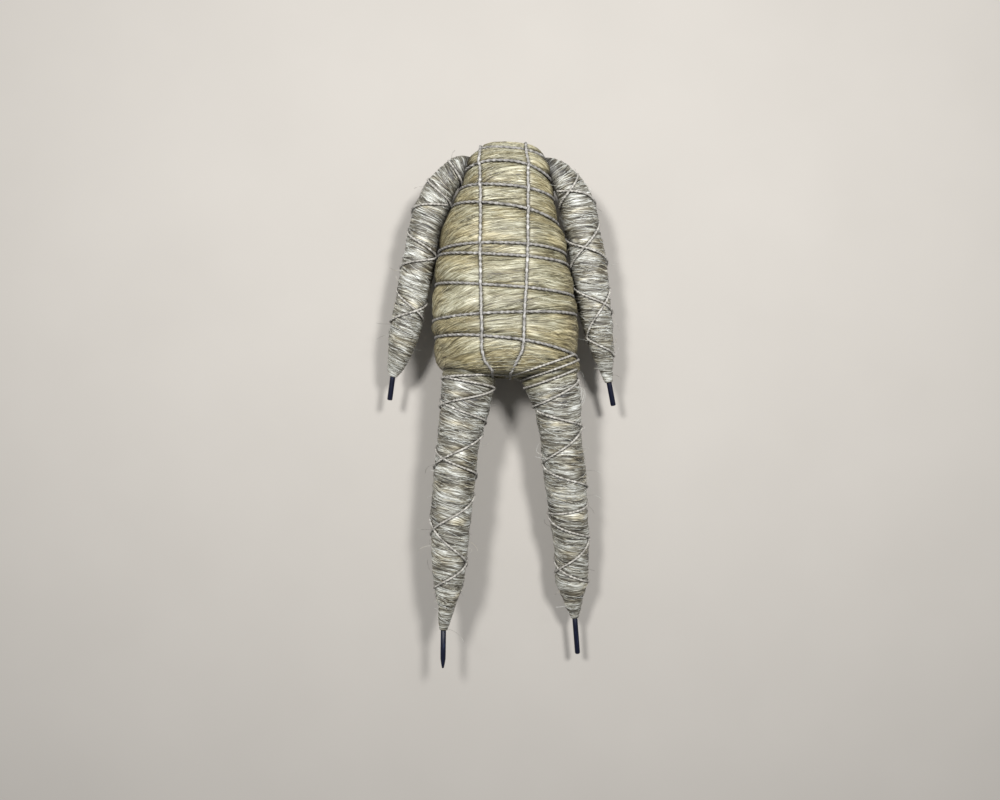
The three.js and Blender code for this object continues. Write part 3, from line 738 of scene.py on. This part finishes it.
def relief_tree():
    """Raises locks and single fibres on a skin of tow, along the way that the tow lies."""
    tree, nodes, given = geometry_tree("tow relief", {
        "Lock height": "Float", "Lock width": "Float", "Fibre height": "Float", "Fibre width": "Float",
        "Lump height": "Float", "Slope": "Float", "Curl": "Float", "Material": "Material",
    })
    vector = nodes.named("lay", "FLOAT_VECTOR")
    lay = Lay(nodes, vector, given["Slope"], given["Curl"])
    locks = (lay.fibres(lay.lying, 0.04, given["Lock width"], 2.0, 0.55) - 0.5) * given["Lock height"]
    fibres = (lay.fibres(lay.lying, 0.07, given["Fibre width"], 3.0, 0.55) - 0.5) * given["Fibre height"]
    lumps = nodes.noise(nodes.stretched(vector, (0.055, 0.055, 0.09)), 1.0, 1.0) - 0.5
    height = (locks + fibres + lumps * given["Lump height"]) * MM
    normal = nodes.add("GeometryNodeInputNormal")
    offset = nodes.scaled(normal, height * (1.0 - nodes.named("calm")))
    raised = nodes.add("GeometryNodeSetPosition", {}, {"Geometry": given["Geometry"], "Offset": offset})
    return close_tree(tree, nodes, raised, given["Material"])


def strand_tree():
    """Lays strands on a surface along their guide lines: each point is drawn onto it, then lifted."""
    tree, nodes, given = geometry_tree("strands on a surface", {
        "Surface": "Object", "Thickness": "Float", "Sides": "Int", "Material": "Material",
    })
    surface = nodes.add("GeometryNodeObjectInfo", {}, {"Object": given["Surface"]}, "Geometry")
    nearest = nodes.add("GeometryNodeProximity", {"target_element": "FACES"}, {0: surface}, "Position")
    normal = nodes.add("GeometryNodeInputNormal")
    outward = nodes.add(
        "GeometryNodeSampleNearestSurface", {"data_type": "FLOAT_VECTOR"},
        {"Mesh": surface, "Value": normal}, "Value",
    )
    away = nodes.scaled(outward, nodes.named("lift") * MM)
    place = nodes.add("ShaderNodeVectorMath", {"operation": "ADD"}, {0: nearest, 1: away})
    laid = nodes.add("GeometryNodeSetPosition", {}, {"Geometry": given["Geometry"], "Position": place})
    swept = sweep(nodes, laid, given["Thickness"], given["Sides"])
    return close_tree(tree, nodes, swept, given["Material"])


def sweep(nodes, lines, thickness, sides):
    """Round strands along lines, as thick as their own girth says."""
    curve = nodes.add("GeometryNodeMeshToCurve", {}, {0: lines})
    curve = nodes.add("GeometryNodeSetCurveRadius", {}, {"Curve": curve, "Radius": nodes.named("girth")})
    section = nodes.add(
        "GeometryNodeCurvePrimitiveCircle", {}, {"Resolution": sides, "Radius": thickness * (MM / 2)}
    )
    return nodes.swept(curve, section)


def hair_tree():
    """Stray hairs that stand off the tow."""
    tree, nodes, given = geometry_tree("stray hairs", {
        "Thickness": "Float", "Sides": "Int", "Material": "Material",
    })
    swept = sweep(nodes, given["Geometry"], given["Thickness"], given["Sides"])
    return close_tree(tree, nodes, swept, given["Material"])


def twine_tree():
    """Two plies laid round each other along a path."""
    tree, nodes, given = geometry_tree("two-ply twine", {
        "Thickness": "Float", "Lay": "Float", "Step": "Float", "Sides": "Int", "Material": "Material",
    })
    curve = nodes.add("GeometryNodeMeshToCurve", {}, {0: given["Geometry"]})
    curve = nodes.add(
        "GeometryNodeResampleCurve", {"mode": "LENGTH"}, {"Curve": curve, "Length": given["Step"] * MM}
    )
    along = nodes.add("GeometryNodeSplineParameter", {}, {}, "Length") / MM
    turn = along / given["Lay"]
    curve = nodes.add("GeometryNodeSetCurveTilt", {}, {"Curve": curve, "Tilt": turn * (2 * math.pi)})
    curve = nodes.kept(curve, "along", along)
    section = nodes.add(
        "GeometryNodeCurvePrimitiveCircle", {}, {"Resolution": given["Sides"], "Radius": 1.0}
    )
    x, y, _ = nodes.parts(nodes.add("GeometryNodeInputPosition"))
    waist = 0.64 + 0.26 * x * x
    size = given["Thickness"] * (MM / 2)
    peanut = nodes.joined(x * size, y * waist * size)
    section = nodes.add("GeometryNodeSetPosition", {}, {"Geometry": section, "Position": peanut})
    section = nodes.kept(section, "ply", nodes.add("ShaderNodeMath", {"operation": "ABSOLUTE"}, {0: x}))
    return close_tree(tree, nodes, nodes.swept(curve, section), given["Material"])


def surface_of(nodes, colour, roughness, normal, **constants):
    """Ends a material in one surface shader."""
    shader = nodes.add(
        "ShaderNodeBsdfPrincipled", {},
        {"Base Color": colour, "Roughness": roughness, "Normal": normal, **constants}, "BSDF",
    )
    end = nodes.tree.nodes.new("ShaderNodeOutputMaterial")
    nodes.tree.links.new(shader.socket, end.inputs["Surface"])


def new_material(name):
    material = bpy.data.materials.new(name)
    material.use_nodes = True
    material.node_tree.nodes.clear()
    return material, Nodes(material.node_tree)


def attribute(nodes, name, out="Fac"):
    return nodes.add("ShaderNodeAttribute", {"attribute_name": name}, {}, out)


def tow_material(name, shades, other_shades, relief, warm_share):
    """Combed fibres: fine streaks of light and dark along the way that the tow lies, partly the tow's own tone
    and partly painted shade and highlight.
    """
    material, nodes = new_material(name)
    vector = attribute(nodes, "lay", "Vector")
    lay = Lay(nodes, vector, relief["Slope"], relief["Curl"])
    coarse, middle, thin = (
        lay.fibres(lay.lying, run, width, 2.0, 0.6)
        for run, width in ((0.05, 1.5), (0.1, 0.6), (0.18, 0.32))
    )
    crossing = lay.down - lay.across * (relief["Slope"] + 0.3) + lay.waver * 4.0
    strays = lay.fibres(crossing, 0.12, 0.45, 2.0, 0.5)
    fine = middle * 0.55 + thin * 0.45
    streak = coarse * 0.34 + fine * 0.66
    # Large patches, lighter and darker at random, are painted sheen on the tow.
    patches = nodes.noise(nodes.stretched(vector, (0.07, 0.07, 0.11)), 1.0, 2.0)
    level = (streak - 0.5) * 1.3 + (patches - 0.5) * 0.3 + 0.5
    level = level + attribute(nodes, "tone") * 0.2 + nodes.between(strays, 0.6, 0.7) * 0.1
    colour = fibre_colour(nodes, level, shades)
    colour = nodes.blend(attribute(nodes, "straw"), colour, fibre_colour(nodes, level, other_shades))
    blotches = nodes.noise(nodes.stretched(vector, (0.05, 0.05, 0.16)), 1.0, 3.0)
    warmth = nodes.between(blotches + attribute(nodes, "gold") * 0.3, 0.5, 0.8) * warm_share
    colour = nodes.blend(warmth, colour, tone(242, 218, 156), "MULTIPLY")
    # Painted shade in the grooves beside the twine and thread, where the tow is pressed in.
    shade = nodes.between(attribute(nodes, "pressed"), 0.06, 0.5) * 0.6
    colour = nodes.blend(shade, colour, (0.16, 0.14, 0.1, 1.0), "MULTIPLY")
    # Painted shade in the narrow places between the limbs and the torso.
    colour = nodes.blend(attribute(nodes, "deep"), colour, (0.04, 0.035, 0.03, 1.0), "MULTIPLY")
    roughness = 0.52 - nodes.between(fine, 0.48, 0.62) * 0.2
    normal = nodes.bump(fine + coarse * 0.6, 0.7, 0.0005)
    surface_of(nodes, colour, roughness, normal, **{"Specular IOR Level": 0.8})
    return material


def fibre_colour(nodes, level, shades):
    """Painted shade between the fibres, their own colour, and a painted highlight where they shine."""
    places = (0.36, 0.45, 0.53, 0.66)
    return nodes.add("ShaderNodeValToRGB", {"stops": list(zip(places, shades))}, {0: level}, "Color")


def twine_material(name, dark, middle, light):
    """Hard-twisted yarn: fibres run with the twist, and the hollow between the plies is darker with painted
    shade.
    """
    material, nodes = new_material(name)
    along = attribute(nodes, "along")
    ply = attribute(nodes, "ply")
    fibres = nodes.noise(nodes.joined(along * 0.35, ply * 3.0), 1.6, 3.0, 0.6)
    slubs = nodes.noise(nodes.joined(along * 0.22), 1.0, 2.0)
    # The hollow between the plies gets painted shade.
    level = fibres * 0.5 + slubs * 0.45 + nodes.between(ply, 0.0, 0.55) * 0.06
    # Painted light makes the lengthwise runs of the torso twine a little paler.
    level = level + attribute(nodes, "pale") * 0.05
    colour = nodes.add(
        "ShaderNodeValToRGB", {"stops": [(0.34, dark), (0.52, middle), (0.72, light)]}, {0: level}, "Color"
    )
    normal = nodes.bump(fibres, 0.5, 0.0003)
    surface_of(nodes, colour, 0.72 - slubs * 0.15, normal, **{"Specular IOR Level": 0.35})
    return material


def coat_material():
    """Dark blue plastic coat, a little scuffed, with lighter streaks that are partly scuffs and partly painted
    highlight.
    """
    material, nodes = new_material("dark blue wire coat")
    place = nodes.add("ShaderNodeTexCoord", {}, {}, "Object")
    scuffs = nodes.noise(nodes.stretched(place, (900.0, 160.0, 900.0)), 1.0, 3.0, 0.6)
    worn_and_highlight = nodes.between(scuffs, 0.56, 0.7)
    # Lighter streaks: partly scuffs, partly painted highlight.
    colour = nodes.blend(worn_and_highlight * 0.6, tone(9, 14, 34), tone(30, 42, 72))
    normal = nodes.bump(scuffs, 0.25, 0.0002)
    surface_of(nodes, colour, 0.42 + worn_and_highlight * 0.25, normal, **{"Specular IOR Level": 0.3})
    return material


def floor_material():
    """A pale, faintly mottled studio floor."""
    material, nodes = new_material("pale floor")
    place = nodes.add("ShaderNodeTexCoord", {}, {}, "Object")
    mottle = nodes.noise(place, 14.0, 3.0)
    colour = nodes.blend(mottle, tone(179, 174, 167), tone(186, 181, 174))
    normal = nodes.add("ShaderNodeBump", {}, {"Height": mottle, "Strength": 0.02}, "Normal")
    surface_of(nodes, colour, 0.8, normal)
    return material


def nearest_distances(points, lines, reach):
    """How near each point lies to the lines, up to a reach."""
    tree = KDTree(len(lines))
    for i, place in enumerate(lines):
        tree.insert(place, i)
    tree.balance()
    distances = np.full(len(points), reach)
    for i, place in enumerate(points):
        distances[i] = min(tree.find(place)[2], reach)
    return distances


def gap_shades(points, neighbours):
    """How deep each point lies in the narrow places beside its neighbours, each given with its reach: the share
    of painted shade there.
    """
    shades = [(1 - nearest_distances(points, places, reach) / reach) ** 0.8 for places, reach in neighbours]
    return np.max(shades, axis=0)


def dense(path, step=0.5):
    """A path with points a step apart."""
    reached = np.concatenate([[0], np.cumsum(np.linalg.norm(np.diff(path, axis=0), axis=1))])
    even = np.arange(0, reached[-1], step)
    return np.stack([np.interp(even, reached, path[:, i]) for i in range(3)], 1)


def pressed_in(rows, lines, depth, reach):
    """Presses the tow in along the lines. Gives the new rows and how hard each point is pressed, which also
    sets the painted shade in the grooves.
    """
    distance = nearest_distances(rows.reshape(-1, 3), lines, reach)
    press = (1 - distance / reach) ** 1.5
    around = np.roll(rows, -1, axis=1) - np.roll(rows, 1, axis=1)
    along = np.gradient(rows, axis=0)
    out = np.cross(along, around)
    out /= np.maximum(np.linalg.norm(out, axis=-1, keepdims=True), 1e-9)
    centre = rows.mean(axis=1, keepdims=True)
    if np.einsum("ijk,ijk->", out, rows - centre) < 0:
        out = -out
    moved = rows - out * (press.reshape(rows.shape[:2]) * depth)[..., None]
    moved[..., 2] = np.maximum(moved[..., 2], 0)
    return moved, np.append(press, [0, 0])


def tow_piece(name, rows, first, last, relief, material, **skin):
    """A skin of tow with its relief. The skin's numbers say how the tow lies at each point, its colour and its
    painted shade.
    """
    mesh = grid_mesh(
        name, rows + PLACE, first + PLACE, last + PLACE, **skin, tone=np.zeros(len(skin["pressed"]))
    )
    return grown(name, faces_out(mesh), RELIEF, Material=material, **relief)


def join(piece, *others):
    """Makes several meshes one piece."""
    objects = [piece, *others]
    with bpy.context.temp_override(
        active_object=piece, selected_editable_objects=objects, selected_objects=objects
    ):
        bpy.ops.object.join()


def torso_strands(random, torso, neighbours):
    """Guide lines of single strands on the torso, lying as the tow does."""
    lines, tones, lifts, girths, lays, golds = [], [], [], [], [], []
    clear_of_ends = 3
    half_width = 30
    for _ in range(TORSO_STRANDS):
        start = random.uniform(clear_of_ends, torso.length - clear_of_ends)
        angle = random.uniform(-math.pi, math.pi)
        half = random.uniform(8, 26)
        run = np.linspace(-half, half, STRAND_POINTS)
        slope = random.normal(0.008 * (math.sin(angle) * half_width) - 0.2, 0.09)
        bow = random.normal(0.003, 0.002)
        down = np.clip(start + run * slope + bow * run**2, 0.5, torso.length - 0.5)
        level = np.interp(down, torso.reached, torso.fine)
        width = np.interp(level, np.arange(CROTCH + 1), STATIONS[:, WIDTH]) * TORSO_WIDTH / 2 + 6
        line = torso_point(level, angle + run / width)
        ends = np.abs(run) / half
        free = np.clip(line[:, 2] / 1.5, 0, 1)
        lines.append(line)
        tones.append(np.full(STRAND_POINTS, random.normal(0.3, 0.4)))
        lifts.append((0.05 + random.uniform(0, 0.28) * (1 - ends**2)) * free - 0.12 * (1 - free))
        girths.append(random.uniform(0.6, 1.5) * (1 - 0.75 * ends**3))
        lays.append(strand_lay(random.uniform(0, 40) + run, angle, down * 1.3))
        golds.append(gold_of(down / torso.length, line[:, 0]))
    painted_gap_shades = np.split(gap_shades(np.concatenate(lines), neighbours), TORSO_STRANDS)
    return polylines(
        "torso_strands", lines, tone=tones, lift=lifts, girth=girths, lay=lays, gold=golds, deep=painted_gap_shades
    )


def strand_lay(run, angle, down):
    """How a single strand lies in the pattern of the tow."""
    return np.stack([run, np.full(STRAND_POINTS, angle * 9), down], 1)


def gold_of(share, across):
    """The tow is warmer low on the torso and at its sides."""
    low = np.interp(share, [0, 0.25, 0.6, 0.8, 0.95, 1], [0.2, 0.4, 0.0, 0.5, 0.9, 0.9])
    golden_from = 34
    return low + 0.7 * np.minimum(np.abs(across) / golden_from, 1) ** 2


def straw_of(limb, share):
    """The tops of the legs are bound in with straw tow, most of all on the figure's left."""
    if limb.name not in STRAW_ENDS:
        return np.zeros(len(share))
    return np.interp(share, STRAW_ENDS[limb.name], (1.0, 0.0))


def limb_strands(random, limb, neighbours):
    """Guide lines of single strands wound round a limb."""
    lines, tones, lifts, girths, lays, golds, straws = [], [], [], [], [], [], []
    for _ in range(LIMB_STRANDS):
        share = random.uniform(0.06, 0.985)
        angle = random.uniform(-math.pi, math.pi)
        radius = float(limb.radius(share))
        half = random.uniform(0.5, 1.9)
        run = np.linspace(-half, half, STRAND_POINTS)
        slope = random.normal(0.16, 0.18)
        down = np.clip(share + run * radius * slope / limb.length, 0.02, 0.995)
        ends = np.abs(run) / half
        lines.append(limb.point(down, angle + run))
        tones.append(np.full(STRAND_POINTS, random.normal(0.35, 0.5)))
        lifts.append(0.04 + random.uniform(0, 0.3) * (1 - ends**2))
        girths.append(random.uniform(0.6, 1.5) * (1 - 0.75 * ends**3) * min(1, 0.35 + radius / 8))
        lays.append(strand_lay(random.uniform(0, 40) + run * radius, angle, down * 150))
        golds.append(np.full(STRAND_POINTS, LIMB_GOLD))
        straws.append(straw_of(limb, down))
    painted_gap_shades = np.split(gap_shades(np.concatenate(lines), neighbours), LIMB_STRANDS)
    return polylines(
        limb.name + "_strands", lines, tone=tones, lift=lifts, girth=girths, lay=lays, gold=golds,
        straw=straws, deep=painted_gap_shades,
    )


def hairs(random, name, places, outs, alongs, loops):
    """Stray hairs: each leaves the tow, bends over and ends free or comes back down."""
    lines, tones, girths, lays = [], [], [], []
    s = np.linspace(0, 1, STRAND_POINTS)[:, None]
    for _ in range(LIMB_HAIRS):
        i = random.integers(len(places))
        length = random.uniform(4, 11)
        side = alongs[i] + random.normal(0, 0.35, 3)
        side /= np.linalg.norm(side)
        twist = np.cross(outs[i], side)
        rise = random.uniform(0.8, 3.2)
        falls = random.uniform(0.5, 1.0)
        line = places[i] - outs[i] * 0.3 + side * length * s
        line = line + outs[i] * rise * np.sin(math.pi * s * falls) + twist * random.normal(0, 3.2) * s**2
        line[:, 2] = np.maximum(line[:, 2], 0.3)
        lines.append(line)
        tones.append(np.full(STRAND_POINTS, random.normal(0.5, 0.4)))
        girths.append(1 - 0.6 * s[:, 0])
        chance = np.full((STRAND_POINTS, 2), (float(i % 40), float(i % 97)))
        lays.append(np.concatenate([s * 12, chance], 1))
    for line in loops:
        lines.append(line)
        tones.append(np.full(len(line), 1.4))
        girths.append(np.full(len(line), HIP_LOOP_GIRTH))
        lays.append(line - line[0])
    golds = [np.full(len(line), LIMB_GOLD) for line in lines]
    return polylines(name, lines, tone=tones, girth=girths, lay=lays, gold=golds)


def hip_loops(random):
    """A few strands that have slipped out of the tow at the figure's left hip, in one loose loop each."""
    start = np.array(HIP_LOOP[0])
    loop_points = 40
    lines = []
    for _ in range(HIP_LOOP_STRANDS):
        size = random.uniform(0.6, 1.1)
        points = [start + (np.array(point) - start) * size for point in HIP_LOOP]
        points = [point + random.normal(0, 0.5, 3) for point in points]
        lines.append(catmull_rom(points, loop_points) + PLACE)
    return lines


def wire_mesh(limb):
    """The wire's visible end and its seat in the tow. A pinched end is narrowed to a chisel."""
    sides = 28
    length = limb.wire_out + WIRE_SEAT
    radius = WIRE_DIAMETER / 2
    if limb.pinched:
        rings = [
            (0, 1, 1), (0.75, 1, 1), (0.84, 0.97, 1.02), (0.93, 0.68, 1.06), (0.985, 0.47, 1.04),
            (1, 0.4, 0.9),
        ]
    else:
        rings = [(0, 1, 1), (0.5, 1, 1), (0.965, 1, 1), (0.988, 0.95, 0.95), (1, 0.78, 0.78)]
    way = limb.wire_way
    across = np.cross([0.0, 0.0, 1.0], way)
    across /= np.linalg.norm(across)
    up = np.cross(across, way)
    start = limb.tip + PLACE - way * WIRE_SEAT
    angle = np.linspace(0, 2 * math.pi, sides, endpoint=False)
    rows = np.array([
        start + way * share * length
        + across * (np.cos(angle) * radius * wide)[:, None] + up * (np.sin(angle) * radius * high)[:, None]
        for share, wide, high in rings
    ])
    return faces_out(grid_mesh(limb.name + "_wire_end", rows, rows[0].mean(0), rows[-1].mean(0)))


def dress(piece, slot, *nodes):
    """Sets a finished piece on the body in place of its CAD nodes."""
    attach(piece, "root")
    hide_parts(*nodes)


def set_camera():
    """The photograph looks straight down on the body from above its middle."""
    data = bpy.data.cameras.new("camera")
    data.sensor_width = 36.0
    data.lens = CAMERA_LENS
    data.clip_start = 0.01
    camera = bpy.data.objects.new("camera", data)
    camera.location = (PLACE + CAMERA_FROM_TORSO) * MM
    bpy.context.scene.collection.objects.link(camera)
    bpy.context.scene.camera = camera


def add_light(name, place, target, size, power):
    """A square soft light that points at its target."""
    data = bpy.data.lights.new(name, "AREA")
    data.size = size
    data.energy = power
    light = bpy.data.objects.new(name, data)
    light.location = place
    light.rotation_euler = (Vector(target) - Vector(place)).to_track_quat("-Z", "Y").to_euler()
    bpy.context.scene.collection.objects.link(light)


def set_stage():
    """A plain pale floor and soft studio light."""
    mesh = bpy.data.meshes.new("floor")
    half = 2.5
    corners = [(-half, -half, 0), (half, -half, 0), (half, half, 0), (-half, half, 0)]
    mesh.from_pydata(corners, [], [(0, 1, 2, 3)])
    mesh.materials.append(floor_material())
    floor = shown("floor", mesh)
    world = bpy.data.worlds.new("soft room")
    world.use_nodes = True
    sky = world.node_tree.nodes["Background"].inputs
    sky["Color"].default_value = ROOM_COLOUR
    sky["Strength"].default_value = ROOM_STRENGTH
    bpy.context.scene.world = world
    x, y, z = KEY_PLACE
    add_light("left key", (x, y, z), KEY_TARGET, KEY_SIZE, LEFT_KEY_POWER)
    add_light("right key", (-x, y, z), KEY_TARGET, KEY_SIZE, RIGHT_KEY_POWER)


class Torso:
    """The torso's skin in rows of points, and how far each level is from the neck end along the skin."""

    def __init__(self):
        self.fine, self.reached, levels = even_levels(TORSO_ROWS + 2)
        self.length = self.reached[-1]
        self.down = np.interp(levels[1:-1], self.fine, self.reached)
        angles = np.linspace(0, 2 * math.pi, TORSO_COLUMNS, endpoint=False)
        self.rows = torso_point(levels[1:-1, None], angles[None, :])
        self.first = self.end(0)
        self.last = self.end(CROTCH)

    def end(self, station):
        x, z = torso_middle(np.array(float(station)))
        return np.array([x, float(turn_height(STATIONS[station], 0.0)), z])

    def skin_tree(self):
        """The bare skin, for rays that look for it."""
        skin = faces_out(grid_mesh("torso_skin", self.rows, self.first, self.last))
        points = [vertex.co / MM for vertex in skin.vertices]
        tree = BVHTree.FromPolygons(points, [tuple(face.vertices) for face in skin.polygons])
        bpy.data.meshes.remove(skin)
        return tree


def make_limbs():
    """The arms, then the legs: which side, whether it is a leg, its lists, and the way that its wire points."""
    return [
        Limb("right_arm", -1, False, RIGHT_ARM_LINE, RIGHT_ARM_GIRTH, RIGHT_ARM_THREAD, (0.145, 0.98, 0.12)),
        Limb("left_arm", 1, False, LEFT_ARM_LINE, LEFT_ARM_GIRTH, LEFT_ARM_THREAD, (0.2, 0.97, 0.14)),
        Limb("right_leg", -1, True, RIGHT_LEG_LINE, RIGHT_LEG_GIRTH, RIGHT_LEG_THREAD, (0.013, 1, 0), True),
        Limb("left_leg", 1, True, LEFT_LEG_LINE, LEFT_LEG_GIRTH, LEFT_LEG_THREAD, (0.08, 0.995, 0.05)),
    ]


def strands_on(tow, guides, thickness, material):
    """Lays single strands on a skin of tow."""
    guides.transform(Matrix.Translation(Vector(PLACE) * MM))
    return grown(
        guides.name, guides, STRANDS, Surface=tow, Thickness=thickness, Sides=STRAND_SIDES, Material=material
    )


def make_torso_tow(random, torso, pressing, limbs):
    """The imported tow, pressed in under all that is tied round it. Gives points of its skin, for the shade."""
    rows, press = pressed_in(torso.rows, pressing, *TORSO_PRESS)
    down = np.repeat(torso.down[:, None], TORSO_COLUMNS, 1)
    lay = np.stack([rows[..., 0], rows[..., 2], down], -1).reshape(-1, 3)
    first, last = torso.first, torso.last
    lay = np.concatenate([lay, [[first[0], first[2], 0]], [[last[0], last[2], torso.length]]])
    places = np.meshgrid(np.linspace(0, 0.9, 110), np.linspace(0, 2 * math.pi, 36), indexing="ij")
    neighbours = [(limb.point(*places).reshape(-1, 3), limb.shade_reach) for limb in limbs]
    flat = rows.reshape(-1, 3)
    tow = tow_piece(
        "packed_torso_tow", rows, first, last, TORSO_RELIEF, TORSO_TOW, lay=lay,
        gold=gold_of(lay[:, 2] / torso.length, lay[:, 0]), straw=np.zeros(len(press)), pressed=press,
        deep=np.append(gap_shades(flat, neighbours), [0, 0]),
        calm=np.append(np.where(flat[:, 2] < TABLE_CONTACT, 1.0, 0.0), [0, 0]),
    )
    guides = torso_strands(random, torso, neighbours)
    join(tow, strands_on(tow, guides, TORSO_STRAND_THICKNESS, TORSO_TOW))
    dress(tow, "torso_tow", "torso")
    return rows[::2, ::2].reshape(-1, 3)


def make_torso_twine(winding, lengthwise):
    """The twine round the torso. Its two lengthwise runs are painted a little paler, as painted light where
    they lie on top.
    """
    paths = [line + PLACE for line in (winding, *lengthwise)]
    paleness = [np.full(len(path), pale) for path, pale in zip(paths, (0.0, 1.0, 1.0))]
    twine = grown(
        "trussing_twine", polylines("twine_lines", paths, pale=paleness), LAID, Material=TWINE, **TWINE_PLIES
    )
    dress(twine, "twine", "torso_twine")


def make_limb_tow(random, limb, pressing, torso_points):
    """The tow wound round a limb, with single strands and stray hairs."""
    shares = np.linspace(0, 1, LIMB_ROWS)
    angles = np.linspace(0, 2 * math.pi, LIMB_COLUMNS, endpoint=False)
    share, angle = np.meshgrid(shares, angles, indexing="ij")
    rows, press = pressed_in(limb.point(share, angle), pressing, *LIMB_PRESS)
    radius = limb.radius(share)
    lay = np.stack([radius * np.sin(angle), radius * np.cos(angle), share * limb.real_length], -1)
    lay = np.concatenate([lay.reshape(-1, 3), [[0, 0, 0]], [[0, 0, limb.real_length]]])
    neighbours = [(torso_points, limb.shade_reach)]
    share = share.ravel()
    tow = tow_piece(
        limb.name + "_tow", rows, rows[0].mean(0), rows[-1].mean(0), LIMB_RELIEF, LIMB_TOW, lay=lay,
        gold=np.full(len(press), LIMB_GOLD), straw=straw_of(limb, np.append(share, [0, 1])), pressed=press,
        deep=np.append(gap_shades(rows.reshape(-1, 3), neighbours), [0, 0]),
        calm=np.append(np.clip((share - TIP_STARTS) / TIP_RUN, 0, 0.8), [1, 1]),
    )
    strands = strands_on(tow, limb_strands(random, limb, neighbours), LIMB_STRAND_THICKNESS, LIMB_TOW)
    join(tow, strands, make_hairs(random, limb, rows, limb.sections(shares)[0]))
    dress(tow, "limb_tow", limb.name)


def make_hairs(random, limb, rows, middle):
    """Stray hairs from chance places of a limb's tow, and the loose loops at the figure's left hip."""
    chosen = random.integers((8, 0), (LIMB_ROWS, LIMB_COLUMNS), (HAIR_PLACES, 2))
    places = np.stack([rows[i, j] for i, j in chosen])
    nearest = np.array([np.argmin(np.linalg.norm(middle - place, axis=1)) for place in places])
    outs = places - middle[nearest]
    outs /= np.linalg.norm(outs, axis=1, keepdims=True)
    alongs = np.cross(outs, [0.0, 1.0, 0.0])
    loops = hip_loops(random) if limb.name == "left_leg" else []
    name = limb.name + "_hairs"
    lines = hairs(random, name, places + PLACE, outs, alongs, loops)
    return grown(name, lines, HAIRS, Thickness=HAIR_THICKNESS, Sides=STRAND_SIDES, Material=LIMB_TOW)


def make_thread(limb, path):
    """The pale thread that binds a limb's tow."""
    line = polylines(limb.name + "_thread_line", [path + PLACE])
    thread = grown(limb.name + "_binding_thread", line, LAID, Material=THREAD, **THREAD_PLIES)
    dress(thread, "thread", limb.name + "_thread")


def make_wire(limb):
    """The coated wire's bare end."""
    wire = shown(limb.name + "_wire_end", wire_mesh(limb))
    wire.data.polygons.foreach_set("use_smooth", np.ones(len(wire.data.polygons), bool))
    wire.data.materials.append(COAT)
    dress(wire, "coated_wire", limb.name + "_wire")


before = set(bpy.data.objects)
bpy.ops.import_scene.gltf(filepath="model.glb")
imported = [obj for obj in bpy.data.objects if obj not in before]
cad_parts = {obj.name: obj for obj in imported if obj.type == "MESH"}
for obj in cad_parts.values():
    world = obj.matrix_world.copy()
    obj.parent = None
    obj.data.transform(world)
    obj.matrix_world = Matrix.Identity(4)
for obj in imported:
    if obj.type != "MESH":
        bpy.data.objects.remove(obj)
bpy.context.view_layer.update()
random = np.random.default_rng(SEED)
bpy.context.scene.view_settings.view_transform = "Standard"
set_stage()

# Everything is worked out in the torso's own frame, then moved to where the CAD torso lies
low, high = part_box("torso")
edge_levels = np.linspace(0, CROTCH, 400)
own_left = torso_point(edge_levels, math.pi / 2)[:, 0].max()
own_right = torso_point(edge_levels, -math.pi / 2)[:, 0].min()
crotch_height = float(turn_height(STATIONS[CROTCH], 0.0))
PLACE = np.array([((low.x + high.x) / MM - own_left - own_right) / 2, low.y / MM - crotch_height, 0.0])
set_camera()

# Each list runs from painted shade between the fibres, through the tow's own colours, to a painted highlight
# where the fibres shine.
STRAW_SHADES = [tone(62, 57, 38), tone(118, 112, 86), tone(150, 146, 122), tone(208, 206, 184)]
GREY_SHADES = [tone(30, 27, 22), tone(90, 85, 73), tone(137, 135, 124), tone(230, 232, 227)]
TORSO_TOW = tow_material("straw tow", STRAW_SHADES, GREY_SHADES, TORSO_RELIEF, 0.5)
LIMB_TOW = tow_material("grey flax tow", GREY_SHADES, STRAW_SHADES, LIMB_RELIEF, 0.55)
TWINE = twine_material("grey hemp twine", tone(84, 81, 78), tone(158, 155, 150), tone(236, 234, 230))
THREAD = twine_material("pale linen thread", tone(92, 88, 82), tone(188, 184, 176), tone(246, 244, 238))
COAT = coat_material()

RELIEF = relief_tree()
STRANDS = strand_tree()
HAIRS = hair_tree()
LAID = twine_tree()

torso = Torso()
limbs = make_limbs()
skin_tree = torso.skin_tree()
winding = winding_path()
lengthwise = [lengthwise_path(offsets) for offsets in LENGTHWISE]
threads = [thread_path(limb, skin_tree) for limb in limbs]
pressing = np.concatenate([dense(path) for path in (winding, *lengthwise, *threads)])
torso_points = make_torso_tow(random, torso, pressing, limbs)
make_torso_twine(winding, lengthwise)
for limb, thread in zip(limbs, threads):
    make_limb_tow(random, limb, np.concatenate([dense(thread), dense(winding)]), torso_points)
    make_thread(limb, thread)
    make_wire(limb)
